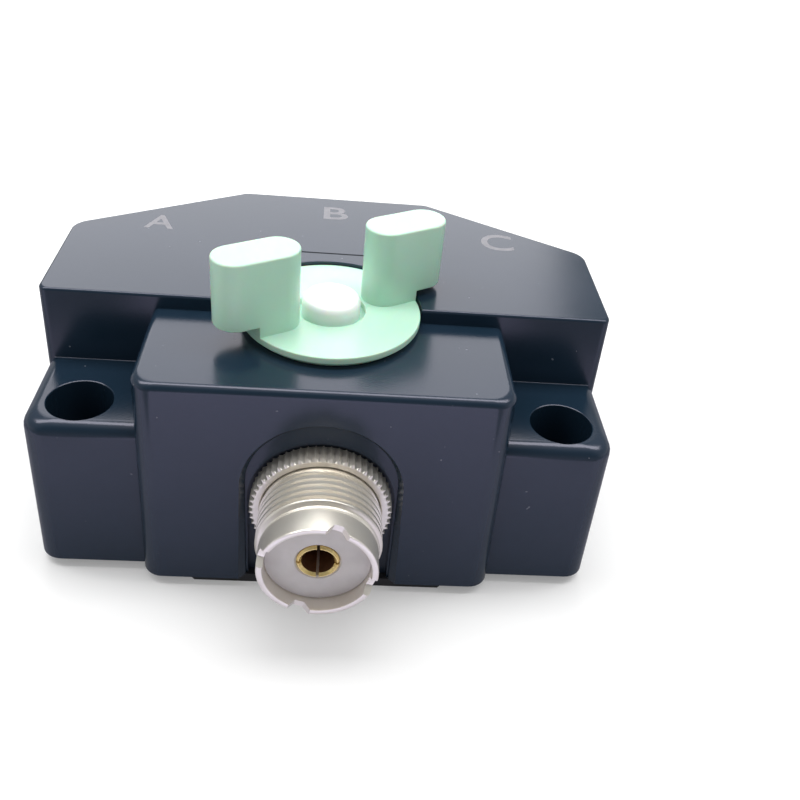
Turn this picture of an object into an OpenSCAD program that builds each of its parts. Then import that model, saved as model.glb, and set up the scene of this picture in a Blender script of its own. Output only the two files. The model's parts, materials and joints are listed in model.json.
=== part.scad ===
// Three-position coaxial antenna switch: one common socket at the front, sockets A, B and C at the rear.
// Millimetres. The origin is on the base plane under the spindle axis, +Y to socket B, +Z up.

/* [Rear body] */
// Width of the rear body at its top face
rear_w = 76.4; // [75:0.1:82]
// Distance from the spindle axis to the corner where a side turns into its slanted face
side_y = 19.4; // [17:0.1:21]
// Width of the rear face between the two slanted faces
back_w = 29; // [27:0.1:31]
// Distance from the spindle axis to the rear face
back_y = 33.7; // [32.5:0.1:36]
// Height of the rear body's top face
rear_h = 35.5; // [35:0.1:40]
// Corner radius at the rear body's front edges
rear_front_r = 1.2; // [1:0.1:2]
// Corner radius where a side meets its slanted face
rear_side_r = 3; // [1.5:0.1:4]
// Corner radius where a slanted face meets the rear face
rear_back_r = 2; // [1.5:0.1:4]
// Rounding of the rear body's top edge
rear_edge = 0.6; // [0.3:0.1:0.9]

/* [Front block] */
// Width of the front block at its top face
block_w = 47; // [46:0.1:50]
// Distance from the spindle axis to the front block's face
block_y = 17.4; // [17:0.1:20]
// Depth of the front block's top face under the rear body's
block_drop = 2; // [1.6:0.1:2.4]
// Corner radius of the front block
block_r = 2.8; // [1.5:0.1:4]
// How far the front block's rounded rear edge runs into the rear body
block_lap = 0.8; // [0.4:0.1:1.2]
// Rounding of the front block's top edge
block_edge = 1; // [0.4:0.1:1.4]

/* [Ears] */
// Width over the two screw ears
ear_w = 76.2; // [74:0.1:76.4]
// Distance from the spindle axis to the ears' front face
ear_y = 15; // [14.6:0.1:17]
// Height of the ears' top face
ear_h = 24.8; // [20:0.1:28]
// Corner radius at the ears' front edges
ear_r = 3; // [2:0.1:4]
// Rounding of the ears' top edge
ear_edge = 1.6; // [0.4:0.1:1.9]
// Distance of each ear screw from the middle plane
ear_screw_x = 31.6; // [31:0.1:32]
// Distance of the ear screws in front of the spindle axis
ear_screw_y = 9.5; // [9:0.1:9.7]
// Radius of an ear's screw hole
ear_hole_r = 2.2; // [1.6:0.1:2.6]
// Radius of the well over an ear's screw hole
ear_well_r = 4.2; // [3.8:0.1:4.4]
// Height of the well's floor
ear_floor_z = 4.6; // [3:0.1:8]

/* [Moulding] */
// Wall thickness of the housing
wall = 2.2; // [1.8:0.1:2.4]
// Draft of the housing's outer walls in degrees
draft = 1; // [0.5:0.1:1.5]
// Thickness of the wall round a screw well
well_wall = 1.8; // [1.4:0.1:2]
// Clearance round the knob's flange in its pocket
pocket_gap = 0.4; // [0.3:0.1:0.8]
// Depth of the pocket under the front block's top face
pocket_sink = 0.4; // [0.3:0.1:0.6]
// Thickness of the pocket's floor
pocket_floor = 2; // [1.6:0.1:2.4]
// Radius of the hole in the pocket's floor
pocket_hole_r = 6; // [5.8:0.1:6.4]
// Clearance from a lock ring's teeth to the arch over it
arch_gap = 1.35; // [1:0.05:1.6]
// Bevel along the edge of each arch
arch_bevel = 0.9; // [0.4:0.1:1]

/* [Base plate] */
// Thickness of the base plate
plate_t = 1.5; // [1.2:0.1:2]
// How far the base plate stays inside the housing's outline
plate_inset = 0.4; // [0.2:0.1:0.8]
// Length cut off each front corner of the base plate
plate_corner = 6; // [3:0.1:7]

/* [Sockets] */
// Height of the rear sockets' axes over the common socket's
port_step = 2.25; // [2.05:0.05:2.5]
// Radius over the thread of a socket
thread_r = 7.94; // [7.8:0.01:8.1]
// Radius of a socket shell in its boss and under its lock ring
seat_r = 7.7; // [7.5:0.05:7.75]
// Radius of the smooth rim in front of the thread
rim_r = 7.45; // [7.3:0.05:7.6]
// Length of the smooth rim
rim_len = 3.6; // [2:0.1:5]
// Bore of a socket shell, which holds the insulator
shell_bore_r = 6.6; // [6.2:0.1:6.9]
// Reach of the common socket in front of the housing's face
front_reach = 12; // [11.6:0.1:14]
// Reach of the rear sockets behind the housing's faces
rear_reach = 20.8; // [16:0.1:26]
// Length of the common socket's thread inside its boss
front_engage = 3.3; // [2.8:0.1:3.6]
// Length of a rear socket's thread inside its boss
rear_engage = 8; // [5:0.1:10]
// Width of the four notches in the rim
notch_w = 2.1; // [1.6:0.1:2.6]
// Depth of the four notches in the rim
notch_depth = 1.2; // [0.6:0.1:1.6]
// Turn of the notches from upright in degrees
notch_turn = 12; // [0:1:40]
// Depth of the insulator's face behind the rim
face_depth = 2; // [1.5:0.1:2.5]
// Radius over a centre contact
contact_r = 2.75; // [2.6:0.05:3]
// Bore of a centre contact
contact_bore_r = 2.05; // [2:0.01:2.1]
// Depth of a centre contact's bore
contact_bore_len = 11.2; // [9:0.1:11.4]
// Thickness of the contact behind its bore
contact_floor = 1.6; // [1:0.1:2]
// How far a centre contact stands in front of the insulator
contact_proud = 0.2; // [0.1:0.1:0.6]
// Width of the four slits in a centre contact
slit_w = 0.35; // [0.25:0.05:0.45]
// Length of the slits
slit_len = 6; // [4:0.1:8]
// Radius of a centre contact's tail
tail_r = 1.2; // [1:0.1:1.4]

/* [Lock rings] */
// Thickness of a lock ring
ring_t = 3; // [2.6:0.1:3.4]
// Height of a lock ring's teeth over the thread
ring_wall = 1.31; // [1.1:0.01:1.5]
// Depth of the teeth
tooth_depth = 0.55; // [0.3:0.05:0.7]
// Number of teeth
teeth = 58; // [40:1:64]

/* [Chassis] */
// Depth of the boss face behind the housing's face
boss_recess = 1.5; // [1.2:0.1:1.7]
// Clearance from the round middle of the chassis to the front block's side walls
drum_gap = 1.7; // [1.4:0.1:1.9]
// Thickness of the wall round the switch chamber
drum_wall = 6.6; // [6.4:0.1:6.8]
// Thickness of the roof over the chamber
chamber_roof = 3; // [2.6:0.1:3.2]
// Radius of the passage from a socket into the chamber
passage_r = 6.2; // [6:0.1:6.3]
// Depth of the three rests in the detent race
race_notch = 0.3; // [0.2:0.05:0.4]
// Radius of the web between two rear bosses
web_r = 2.5; // [2:0.1:3]

/* [Knob] */
// Radius of the knob's flange
flange_r = 12; // [11.6:0.1:12.4]
// Thickness of the knob's flange
flange_t = 1.9; // [1.7:0.1:2.2]
// Distance of each lug's middle from the spindle axis
lug_x = 10.8; // [10.6:0.1:11.2]
// Length of a lug
lug_len = 11.56; // [11:0.01:11.8]
// Width of a lug
lug_w = 5.72; // [5.2:0.01:6.2]
// Height of a lug over the flange
lug_h = 10.4; // [8:0.1:14]
// Height of a lug's underside over the rear body's top, where it overhangs the flange
lug_lift = 0.5; // [0.4:0.1:1]
// Radius of the hub under the flange
hub_r = 5.6; // [5.4:0.1:5.8]
// Radius of the cap over the knob's screw
cap_r = 3.9; // [3.7:0.1:4.1]
// Height of the cap over the flange
cap_h = 1.7; // [1.2:0.1:2.5]
// Radius of the hole that the cap stands in
cap_hole_r = 4.6; // [4.4:0.1:4.8]
// Depth of the hole that the cap stands in
cap_hole_depth = 1.1; // [0.9:0.1:1.2]

/* [Spindle and rotor] */
// Angle from one position to the next in degrees
step_angle = 30; // [25:1:35]
// Radius of the spindle
spindle_r = 3; // [2.8:0.05:3.05]
// Depth of the flat on the spindle's top
spindle_flat = 0.6; // [0.4:0.1:1]
// Length of the spindle below the wafer
spindle_foot = 1.6; // [1.4:0.1:3]
// Radius of the spindle bushing
bushing_r = 4.5; // [4.2:0.1:5]
// Clearance round the rotor's disc
rotor_gap = 0.6; // [0.5:0.1:0.8]
// Thickness of the rotor's disc
rotor_t = 3.8; // [3.6:0.1:4]
// Radius of the rotor's hub, which carries the wiper
rotor_hub_r = 5.6; // [5.2:0.1:5.8]
// Radius of a detent ball
ball_r = 1.5; // [1.3:0.05:1.55]
// Wire diameter of a detent spring
spring_wire = 0.4; // [0.3:0.05:0.45]
// Radius over a detent spring
spring_r = 1.4; // [1.2:0.05:1.45]
// Turns of a detent spring
spring_turns = 4; // [4:1:6]
// Distance from the spindle to the seat of a detent spring
spring_seat = 0.6; // [0.4:0.1:1.2]
// Thickness of the thrust washer
washer_t = 0.5; // [0.4:0.1:0.6]
// Radius of the thrust washer
washer_r = 5.2; // [4.6:0.1:6]
// Thickness of the retaining ring
clip_t = 0.6; // [0.4:0.1:0.8]
// Radius of the retaining ring
clip_r = 4.6; // [4.2:0.1:5.2]
// Depth of the spindle groove that holds the retaining ring
clip_groove = 0.6; // [0.4:0.1:0.8]

/* [Wafer and contacts] */
// Thickness of the stator wafer
wafer_t = 1.6; // [1.2:0.1:2]
// How far the stator wafer reaches past the chamber's wall
wafer_ledge = 1.4; // [1.2:0.1:1.5]
// Thickness of the contact strips
strip_t = 0.5; // [0.3:0.05:0.6]
// Width of the contact strips
strip_w = 2; // [1.6:0.1:2.2]
// Where the fixed contacts lie, as a share of the way from the spindle to the chamber's wall
pad_share = 0.62; // [0.6:0.01:0.66]
// Radius of a fixed contact
pad_r = 1.6; // [1.4:0.1:1.8]
// Where the common contact ring ends, as a share of the same way
common_share = 0.26; // [0.22:0.01:0.28]
// Thickness of the wiper blade
wiper_t = 0.5; // [0.3:0.05:0.6]
// Radius of the wiper's contact
wiper_pad_r = 1.2; // [1:0.1:1.4]
// Distance from the rotor's hub to the end of the common socket's tail
hub_clear = 2.4; // [2:0.1:3]
// How far the rear sockets' tails reach into the chamber
tail_inset = 1; // [0.6:0.1:1.4]
// How far a strip reaches under its tail
strip_lap = 1.2; // [0.8:0.1:1.6]

/* [Screws] */
// Shank radius of the housing and chassis screws
screw_r = 1.4; // [1.2:0.05:1.5]
// Head radius of the housing and chassis screws
screw_head_r = 2.7; // [2.4:0.1:2.8]
// Height of the countersunk heads
screw_head_h = 1.3; // [1:0.1:1.4]
// Length of the housing screws over the base plate
cover_screw_len = 8; // [6:0.1:12]
// Length of the chassis screws over the base plate
chassis_screw_len = 5.4; // [4:0.1:5.8]
// Shank radius of the wafer screws
wafer_screw_r = 1; // [0.8:0.05:1.1]
// Head radius of the wafer screws
wafer_head_r = 1.9; // [1.7:0.1:2]
// Head height of the wafer screws
wafer_head_h = 1.1; // [0.8:0.1:1.4]
// Length of the wafer screws in the chassis
wafer_screw_len = 4; // [3:0.1:5]
// Shank radius of the knob screw
knob_screw_r = 1.5; // [1.2:0.1:1.6]
// Head radius of the knob screw
knob_head_r = 2.6; // [2.4:0.1:2.7]
// Head height of the knob screw
knob_head_h = 1.5; // [1.2:0.1:1.6]
// Length of the knob screw under its head
knob_screw_len = 6.4; // [5:0.1:6.8]

/* [Clearances] */
// Radial running clearance of the spindle in its bushing
running_gap = 0.05; // [0.03:0.01:0.08]
// Axial clearance at each side of the thrust washer
axial_gap = 0.05; // [0.03:0.01:0.1]
// Clearance between the wiper and the fixed contacts
contact_gap = 0.1; // [0.05:0.01:0.2]
// Clearance of the bosses in their arches, and of small parts in their holes
fit_gap = 0.3; // [0.2:0.05:0.35]
// Clearance of a ball to its race and of a lock ring to its thread
small_gap = 0.1; // [0.05:0.01:0.15]

/* [Hidden] */

$fn = 96;
corner_fn = 32;
overrun = 3;
sliver = 0.01;
edge_steps = 3;

// Slanted rear face on the +X side: azimuth of its normal from +Y, distance and middle
slant_az = atan2(back_y - side_y, (rear_w - back_w) / 2);
slant_dist = rear_w / 2 * sin(slant_az) + side_y * cos(slant_az);
slant_mid = (rear_w + back_w) / 4 * cos(slant_az) - (side_y + back_y) / 2 * sin(slant_az);

// Radii round the spindle axis
pocket_r = flange_r + pocket_gap;
drum_r = block_w / 2 - wall - drum_gap;
chamber_r = drum_r - drum_wall;
rotor_r = chamber_r - rotor_gap;
wafer_r = chamber_r + wafer_ledge;
pad_dist = spindle_r + pad_share * (chamber_r - spindle_r);
common_ring_r = spindle_r + common_share * (chamber_r - spindle_r);
front_tail_end = rotor_hub_r + hub_clear;
rear_tail_end = chamber_r - tail_inset;

// Radii round a socket's axis
ring_r = thread_r + ring_wall;
arch_r = ring_r + arch_gap;
boss_r = arch_r - fit_gap;

// Heights, from the base plate up
block_h = rear_h - block_drop;
rear_port_z = rear_h / 2;
front_port_z = rear_port_z - port_step;
pocket_z = block_h - pocket_sink;
roof_z = pocket_z - pocket_floor;
chamber_z = roof_z - chamber_roof;
rotor_top_z = chamber_z - washer_t - 2 * axial_gap;
rotor_z = rotor_top_z - rotor_t;
ball_z = rotor_z + rotor_t / 2;
strip_z = front_port_z - tail_r - strip_t;
wiper_z = strip_z + strip_t + contact_gap;
wafer_z = strip_z - wafer_t;
clip_z = wafer_z - fit_gap - clip_t;
spindle_z = wafer_z - spindle_foot;
flange_z = pocket_z + fit_gap;
flange_top_z = flange_z + flange_t;
hub_z = roof_z + fit_gap;
cap_floor_z = flange_top_z - cap_hole_depth;
spindle_top_z = flange_z;
lug_z = rear_h + lug_lift;

// Each port: azimuth from +Y, sideways offset, height, face distance, reach, thread in the boss, tail's end
AZ = 0;
OFFSET = 1;
HEIGHT = 2;
FACE = 3;
REACH = 4;
ENGAGE = 5;
TAIL = 6;
common_port = [180, 0, front_port_z, block_y, front_reach, front_engage, front_tail_end];
a_port = [-slant_az, -slant_mid, rear_port_z, slant_dist, rear_reach, rear_engage, rear_tail_end];
b_port = [0, 0, rear_port_z, back_y, rear_reach, rear_engage, rear_tail_end];
c_port = [slant_az, slant_mid, rear_port_z, slant_dist, rear_reach, rear_engage, rear_tail_end];
rear_ports = [a_port, b_port, c_port];
ports = concat([common_port], rear_ports);
positions = [-step_angle, 0, step_angle];
rest_turn = -step_angle;

// Where the side of a slanted boss meets the side of the middle one
web_dist = (boss_r - (slant_mid - boss_r) * cos(slant_az)) / sin(slant_az);
web_point = [boss_r, web_dist * cos(slant_az) - (slant_mid - boss_r) * sin(slant_az)];

// Screws: the four of the housing, the three of the chassis, the two of the wafer
post_r = screw_r + wall / 2;
rear_post = [rear_w / 2 - wall - 2 * post_r + sliver, wall + 2 * screw_r + screw_r];
front_post = [block_w / 2 - wall - 2 * post_r + sliver, ear_y - wall - screw_r / 2];
cover_posts = [for (p = [rear_post, [front_post.x, -front_post.y]], side = [-1, 1]) [side * p.x, p.y]];
wafer_seat_r = wafer_r + fit_gap;
drum_wall_mid = (wafer_seat_r + drum_r) / 2;
chassis_posts = [for (az = [-82, 0, 82]) drum_wall_mid * [sin(az), cos(az)]];
wafer_lug_r = wafer_head_r + fit_gap + fit_gap;
wafer_lug_dist = wafer_seat_r + wafer_screw_r;
wafer_lugs = [for (az = [-100, 100]) wafer_lug_dist * [sin(az), cos(az)]];

// A point at distance dist along a port's axis, seen from above
function port_point(p, dist) =
    dist * [sin(p[AZ]), cos(p[AZ])] + p[OFFSET] * [cos(p[AZ]), -sin(p[AZ])];

function boss_dist(p) = p[FACE] - boss_recess;
function rim_dist(p) = p[FACE] + p[REACH];
function shell_start(p) = boss_dist(p) - p[ENGAGE];
function contact_front(p) = rim_dist(p) - face_depth + contact_proud;
function ring_front(p) = boss_dist(p) + ring_t;

// Places the children on a port's axis, with +Z outwards and -Y up
module at_port(p) {
    rotate([0, 0, -p[AZ]])
    translate([p[OFFSET], 0, p[HEIGHT]])
    rotate([-90, 0, 0])
    children();
}

module tube(outer_r, inner_r, height) {
    difference() {
        cylinder(r = outer_r, h = height);
        translate([0, 0, -overrun]) cylinder(r = inner_r, h = height + 2 * overrun);
    }
}

// Outline corners as [centre x, centre y, corner radius]
rear_centres = [for (side = [-1, 1]) each [
    [side * (rear_w / 2 - rear_front_r), rear_front_r, rear_front_r],
    [side * (rear_w / 2 - rear_side_r),
        (slant_dist - rear_side_r - (rear_w / 2 - rear_side_r) * sin(slant_az)) / cos(slant_az), rear_side_r],
    [side * (slant_dist - rear_back_r - (back_y - rear_back_r) * cos(slant_az)) / sin(slant_az),
        back_y - rear_back_r, rear_back_r]]];
block_centres = [for (side = [-1, 1], y = [block_r - block_y, block_lap - block_r])
    [side * (block_w / 2 - block_r), y, block_r]];
ear_centres = [for (side = [-1, 1], y = [ear_r - ear_y, ear_r])
    [side * (ear_w / 2 - ear_r), y, ear_r]];

// A drafted block with a rounded top edge
module moulded_block(centres, top_z, edge) {
    levels = concat(
        [[plate_t, -(top_z - plate_t) * tan(draft)]],
        [for (k = [0:edge_steps]) let (a = 90 * k / edge_steps)
            [top_z - edge + edge * sin(a) - sliver, edge * (1 - cos(a))]]);
    hull() {
        for (c = centres, level = levels) {
            translate([c.x, c.y, level[0]])
            cylinder(r = c.z - level[1], h = sliver, $fn = corner_fn);
        }
    }
}

// Outline of the rear body, drawn inwards by inset
module rear_outline(inset) {
    half_w = rear_w / 2 - inset;
    dist = slant_dist - inset;
    side_corner = (dist - half_w * sin(slant_az)) / cos(slant_az);
    back_corner = (dist - (back_y - inset) * cos(slant_az)) / sin(slant_az);
    polygon([[-half_w, inset], [half_w, inset], [half_w, side_corner], [back_corner, back_y - inset],
        [-back_corner, back_y - inset], [-half_w, side_corner]]);
}

// An arch on a port's axis, open to the base, from one distance to another
module arch(p, radius, from_dist, to_dist) {
    at_port(p) translate([0, 0, from_dist]) {
        cylinder(r = radius, h = to_dist - from_dist);
        translate([-radius, 0, 0]) cube([2 * radius, p[HEIGHT] - plate_t, to_dist - from_dist]);
    }
}

module arch_opening(p) {
    arch(p, arch_r, p[FACE] - wall - arch_bevel, p[FACE] + overrun);
    at_port(p) {
        translate([-arch_r, 0, p[FACE] - wall - arch_bevel])
        cube([2 * arch_r, p[HEIGHT], wall + arch_bevel + overrun]);
        translate([0, 0, p[FACE] - arch_bevel])
        cylinder(r1 = arch_r, r2 = arch_r + 2 * arch_bevel, h = 2 * arch_bevel);
        translate([0, p[HEIGHT], p[FACE]]) rotate([90, 0, 0]) linear_extrude(p[HEIGHT])
        polygon([[-arch_r, -arch_bevel], [arch_r, -arch_bevel], [arch_r + 2 * arch_bevel, arch_bevel],
            [-arch_r - 2 * arch_bevel, arch_bevel]]);
    }
}

// One ear's core, round the wall of its well
module ear_core(side) {
    core_w = (ear_w - block_w) / 2 - 2 * wall;
    difference() {
        translate([side * (block_w / 2 + wall + core_w / 2) - core_w / 2, wall - ear_y, 0])
        cube([core_w, ear_y - wall, ear_h - wall]);
        translate([side * ear_screw_x, -ear_screw_y, -overrun])
        cylinder(r = ear_well_r + well_wall, h = ear_h + overrun);
    }
}

module housing_core() {
    difference() {
        union() {
            linear_extrude(rear_h - wall) rear_outline(wall);
            translate([wall - block_w / 2, wall - block_y, 0])
            cube([block_w - 2 * wall, block_y + wall, roof_z]);
        }
        translate([0, 0, roof_z]) cylinder(r = pocket_r + wall, h = rear_h);
        for (p = cover_posts) {
            translate([p.x, p.y, 0]) cylinder(r = post_r, h = rear_h);
        }
    }
    for (side = [-1, 1]) ear_core(side);
}

module housing_cover() {
    color([0.06, 0.08, 0.11])
    difference() {
        union() {
            moulded_block(rear_centres, rear_h, rear_edge);
            moulded_block(block_centres, block_h, block_edge);
            moulded_block(ear_centres, ear_h, ear_edge);
        }
        housing_core();
        translate([0, 0, pocket_z]) cylinder(r = pocket_r, h = rear_h);
        cylinder(r = pocket_hole_r, h = rear_h);
        for (p = ports) arch_opening(p);
        for (side = [-1, 1]) translate([side * ear_screw_x, -ear_screw_y, 0]) {
            cylinder(r = ear_hole_r, h = rear_h);
            translate([0, 0, ear_floor_z]) cylinder(r = ear_well_r, h = rear_h);
        }
        for (p = cover_posts) {
            translate([p.x, p.y, 0]) cylinder(r = screw_r, h = plate_t + cover_screw_len + wall);
        }
    }
}

// Countersunk screws up through the base plate, with a cross recess in each head
module plate_screws(places, length) {
    for (p = places) translate([p.x, p.y, 0]) difference() {
        union() {
            cylinder(r1 = screw_head_r, r2 = screw_r, h = screw_head_h);
            cylinder(r = screw_r, h = plate_t + length);
        }
        for (turn = [0, 90]) rotate([0, 0, turn])
            translate([-screw_r, -screw_r / 6, -overrun])
            cube([2 * screw_r, screw_r / 3, overrun + screw_head_h / 2]);
    }
}

module base_plate() {
    block_half = block_w / 2 - plate_inset;
    front = plate_inset - block_y;
    color([0.09, 0.1, 0.12])
    difference() {
        union() {
            linear_extrude(plate_t) rear_outline(plate_inset);
            linear_extrude(plate_t)
            polygon([[-block_half, wall], [-block_half, front + plate_corner],
                [plate_corner - block_half, front], [block_half - plate_corner, front],
                [block_half, front + plate_corner], [block_half, wall]]);
        }
        for (p = concat(cover_posts, chassis_posts)) translate([p.x, p.y, 0]) {
            cylinder(r1 = screw_head_r + small_gap, r2 = screw_r + small_gap, h = screw_head_h);
            cylinder(r = screw_r + small_gap, h = plate_t + overrun);
        }
    }
}

module cover_screws() {
    color("silver") plate_screws(cover_posts, cover_screw_len);
}

module chassis_screws() {
    color("silver") plate_screws(chassis_posts, chassis_screw_len);
}

module inner_chassis() {
    post_gap_r = post_r + fit_gap;
    color([0.2, 0.22, 0.25])
    difference() {
        union() {
            intersection() {
                translate([0, 0, plate_t]) cylinder(r = drum_r, h = roof_z - plate_t);
                translate([-drum_r, wall + fit_gap - block_y, 0]) cube([2 * drum_r, 2 * drum_r, roof_z]);
            }
            arch(common_port, boss_r, front_tail_end, boss_dist(common_port));
            for (side = [-1, 1]) translate([side * web_point.x, web_point.y, plate_t])
                cylinder(r = web_r, h = rear_port_z + web_r - plate_t);
            intersection() {
                union() {
                    for (p = rear_ports) arch(p, boss_r, p[TAIL], boss_dist(p));
                }
                translate([-rear_w / 2, wall + fit_gap, 0]) cube([rear_w, back_y, rear_h]);
            }
        }
        translate([0, 0, plate_t - overrun]) cylinder(r = chamber_r, h = chamber_z - plate_t + overrun);
        translate([0, 0, plate_t - overrun]) cylinder(r = wafer_seat_r, h = strip_z - plate_t + overrun);
        for (p = wafer_lugs) translate([p.x, p.y, 0]) {
            cylinder(r = wafer_lug_r + small_gap, h = strip_z);
            cylinder(r = wafer_screw_r, h = strip_z + wafer_screw_len + fit_gap);
        }
        for (p = chassis_posts) {
            translate([p.x, p.y, 0]) cylinder(r = screw_r, h = plate_t + chassis_screw_len + fit_gap);
        }
        for (p = cover_posts) {
            translate([p.x, p.y, plate_t - overrun]) cylinder(r = post_gap_r, h = roof_z + overrun);
        }
        for (p = ports) at_port(p) {
            translate([0, 0, p[TAIL] - tail_r]) cylinder(r = passage_r, h = p[FACE] - p[TAIL]);
            translate([0, 0, shell_start(p)]) cylinder(r = seat_r, h = p[ENGAGE] + overrun);
        }
        for (k = [0:2]) strip_channel(rear_ports[k], positions[k]);
        cylinder(r = bushing_r, h = roof_z + overrun);
        for (position = positions, side = [-1, 1]) {
            rotate([0, 0, -position])
            translate([side * (chamber_r + race_notch - ball_r), 0, ball_z - ball_r])
            cylinder(r = ball_r, h = 2 * ball_r);
        }
    }
}

module socket_shell(p) {
    start = shell_start(p);
    thread_end = rim_dist(p) - rim_len;
    color([0.78, 0.76, 0.72])
    at_port(p) difference() {
        union() {
            translate([0, 0, start]) cylinder(r = seat_r, h = ring_front(p) + fit_gap - start);
            translate([0, 0, ring_front(p) + fit_gap])
            cylinder(r = thread_r, h = thread_end - ring_front(p) - fit_gap);
            translate([0, 0, start]) cylinder(r = rim_r, h = rim_dist(p) - start);
        }
        translate([0, 0, start - overrun]) cylinder(r = shell_bore_r, h = p[REACH] + p[FACE]);
        for (turn = [0, 90]) rotate([0, 0, notch_turn + turn])
            translate([-thread_r, -notch_w / 2, rim_dist(p) - notch_depth])
            cube([2 * thread_r, notch_w, notch_depth + overrun]);
    }
}

module lock_ring(p) {
    color([0.8, 0.78, 0.73])
    at_port(p) translate([0, 0, boss_dist(p)]) difference() {
        linear_extrude(ring_t)
        polygon([for (k = [0:2 * teeth - 1]) let (a = 180 * k / teeth)
            (ring_r - (k % 2) * tooth_depth) * [cos(a), sin(a)]]);
        translate([0, 0, -overrun]) cylinder(r = seat_r + small_gap, h = ring_t + 2 * overrun);
    }
}

module insulator(p) {
    start = shell_start(p);
    end = rim_dist(p) - face_depth;
    barrel_start = contact_front(p) - contact_bore_len - contact_floor;
    color([0.75, 0.72, 0.7])
    at_port(p) difference() {
        translate([0, 0, start]) cylinder(r = shell_bore_r, h = end - start);
        translate([0, 0, start - overrun]) cylinder(r = tail_r, h = end - start + 2 * overrun);
        translate([0, 0, barrel_start]) cylinder(r = contact_r, h = end - barrel_start + overrun);
    }
}

module centre_contact(p) {
    front = contact_front(p);
    barrel_start = front - contact_bore_len - contact_floor;
    color([0.85, 0.68, 0.25])
    at_port(p) difference() {
        union() {
            translate([0, 0, barrel_start]) cylinder(r = contact_r, h = front - barrel_start);
            translate([0, 0, p[TAIL]]) cylinder(r = tail_r, h = front - p[TAIL] - contact_bore_len);
        }
        translate([0, 0, front - contact_bore_len]) cylinder(r = contact_bore_r, h = contact_bore_len + overrun);
        for (turn = [0, 90]) rotate([0, 0, turn])
            translate([-contact_r - overrun, -slit_w / 2, front - slit_len])
            cube([2 * contact_r + 2 * overrun, slit_w, slit_len + overrun]);
    }
}

module stator_wafer() {
    color([0.55, 0.38, 0.2])
    translate([0, 0, wafer_z]) difference() {
        union() {
            cylinder(r = wafer_r, h = wafer_t);
            for (p = wafer_lugs) translate([p.x, p.y, 0]) cylinder(r = wafer_lug_r - small_gap, h = wafer_t);
        }
        translate([0, 0, -overrun]) cylinder(r = spindle_r + fit_gap, h = wafer_t + 2 * overrun);
        translate([-wafer_r, fit_gap - shell_start(common_port) - wafer_r, -overrun])
        cube([2 * wafer_r, wafer_r, wafer_t + 2 * overrun]);
        for (p = wafer_lugs) {
            translate([p.x, p.y, -overrun])
            cylinder(r = wafer_screw_r + small_gap, h = wafer_t + 2 * overrun);
        }
    }
}

module wafer_screws() {
    color("silver")
    for (p = wafer_lugs) translate([p.x, p.y, wafer_z]) difference() {
        union() {
            translate([0, 0, -wafer_head_h]) cylinder(r = wafer_head_r, h = wafer_head_h);
            translate([0, 0, -wafer_head_h])
            cylinder(r = wafer_screw_r, h = wafer_head_h + wafer_t + wafer_screw_len);
        }
        translate([-wafer_head_r, -wafer_screw_r / 5, -wafer_head_h - overrun])
        cube([2 * wafer_head_r, wafer_screw_r / 2.5, overrun + wafer_head_h / 2]);
    }
}

// A flat strip with round ends from one point to another
module strip_between(from, to) {
    run = to - from;
    translate([from.x, from.y, strip_z]) {
        cylinder(r = pad_r, h = strip_t);
        rotate([0, 0, atan2(run.y, run.x)]) {
            translate([0, -strip_w / 2, 0]) cube([norm(run), strip_w, strip_t]);
            translate([norm(run), 0, 0]) cylinder(r = strip_w / 2, h = strip_t);
        }
    }
}

function pad_point(position) = pad_dist * [sin(position), cos(position)];
function tab_point(p) = port_point(p, p[TAIL] + strip_lap);

// Clears the way of a rear port's strip through the chassis
module strip_channel(p, position) {
    run = tab_point(p) - pad_point(position);
    half_w = strip_w / 2 + fit_gap;
    translate([pad_point(position).x, pad_point(position).y, strip_z - fit_gap])
    rotate([0, 0, atan2(run.y, run.x)])
    translate([0, -half_w, 0])
    cube([norm(run) + half_w, 2 * half_w, p[HEIGHT] - strip_z]);
}

// A rear port's strip, with a tab at its end that stands up to the tail
module fixed_strip(p, position) {
    tab = tab_point(p);
    tab_top = p[HEIGHT] - tail_r;
    color([0.8, 0.62, 0.3]) {
        strip_between(pad_point(position), tab);
        translate([tab.x, tab.y, strip_z]) rotate([0, 0, -p[AZ]])
        translate([-strip_w / 2, -strip_t / 2, 0]) cube([strip_w, strip_t, tab_top - strip_z]);
    }
}

module common_contact_strip() {
    tail_point = port_point(common_port, front_tail_end + strip_lap);
    color([0.8, 0.62, 0.3])
    difference() {
        union() {
            translate([0, 0, strip_z]) cylinder(r = common_ring_r, h = strip_t);
            translate([-strip_w / 2, tail_point.y, strip_z]) cube([strip_w, -tail_point.y, strip_t]);
        }
        translate([0, 0, strip_z - overrun]) cylinder(r = spindle_r + 2 * fit_gap, h = strip_t + 2 * overrun);
    }
}

module spindle_bushing() {
    color([0.72, 0.6, 0.35])
    translate([0, 0, chamber_z]) tube(bushing_r, spindle_r + running_gap, chamber_roof);
}

module thrust_washer() {
    color("silver")
    translate([0, 0, chamber_z - washer_t - axial_gap]) tube(washer_r, spindle_r + small_gap, washer_t);
}

// The spindle's round section, with the flat that drives the knob cut from it
module spindle_section(radius, height) {
    difference() {
        cylinder(r = radius, h = height);
        translate([radius - spindle_flat, -radius, -overrun])
        cube([2 * radius, 2 * radius, height + 2 * overrun]);
    }
}

module spindle() {
    color("silver")
    difference() {
        union() {
            translate([0, 0, spindle_z]) cylinder(r = spindle_r, h = roof_z - spindle_z);
            translate([0, 0, roof_z]) spindle_section(spindle_r, spindle_top_z - roof_z);
        }
        translate([0, 0, clip_z]) tube(spindle_r + overrun, spindle_r - clip_groove, clip_t);
        translate([0, 0, cap_floor_z - knob_screw_len - fit_gap])
        cylinder(r = knob_screw_r, h = knob_screw_len + overrun);
    }
}

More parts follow.
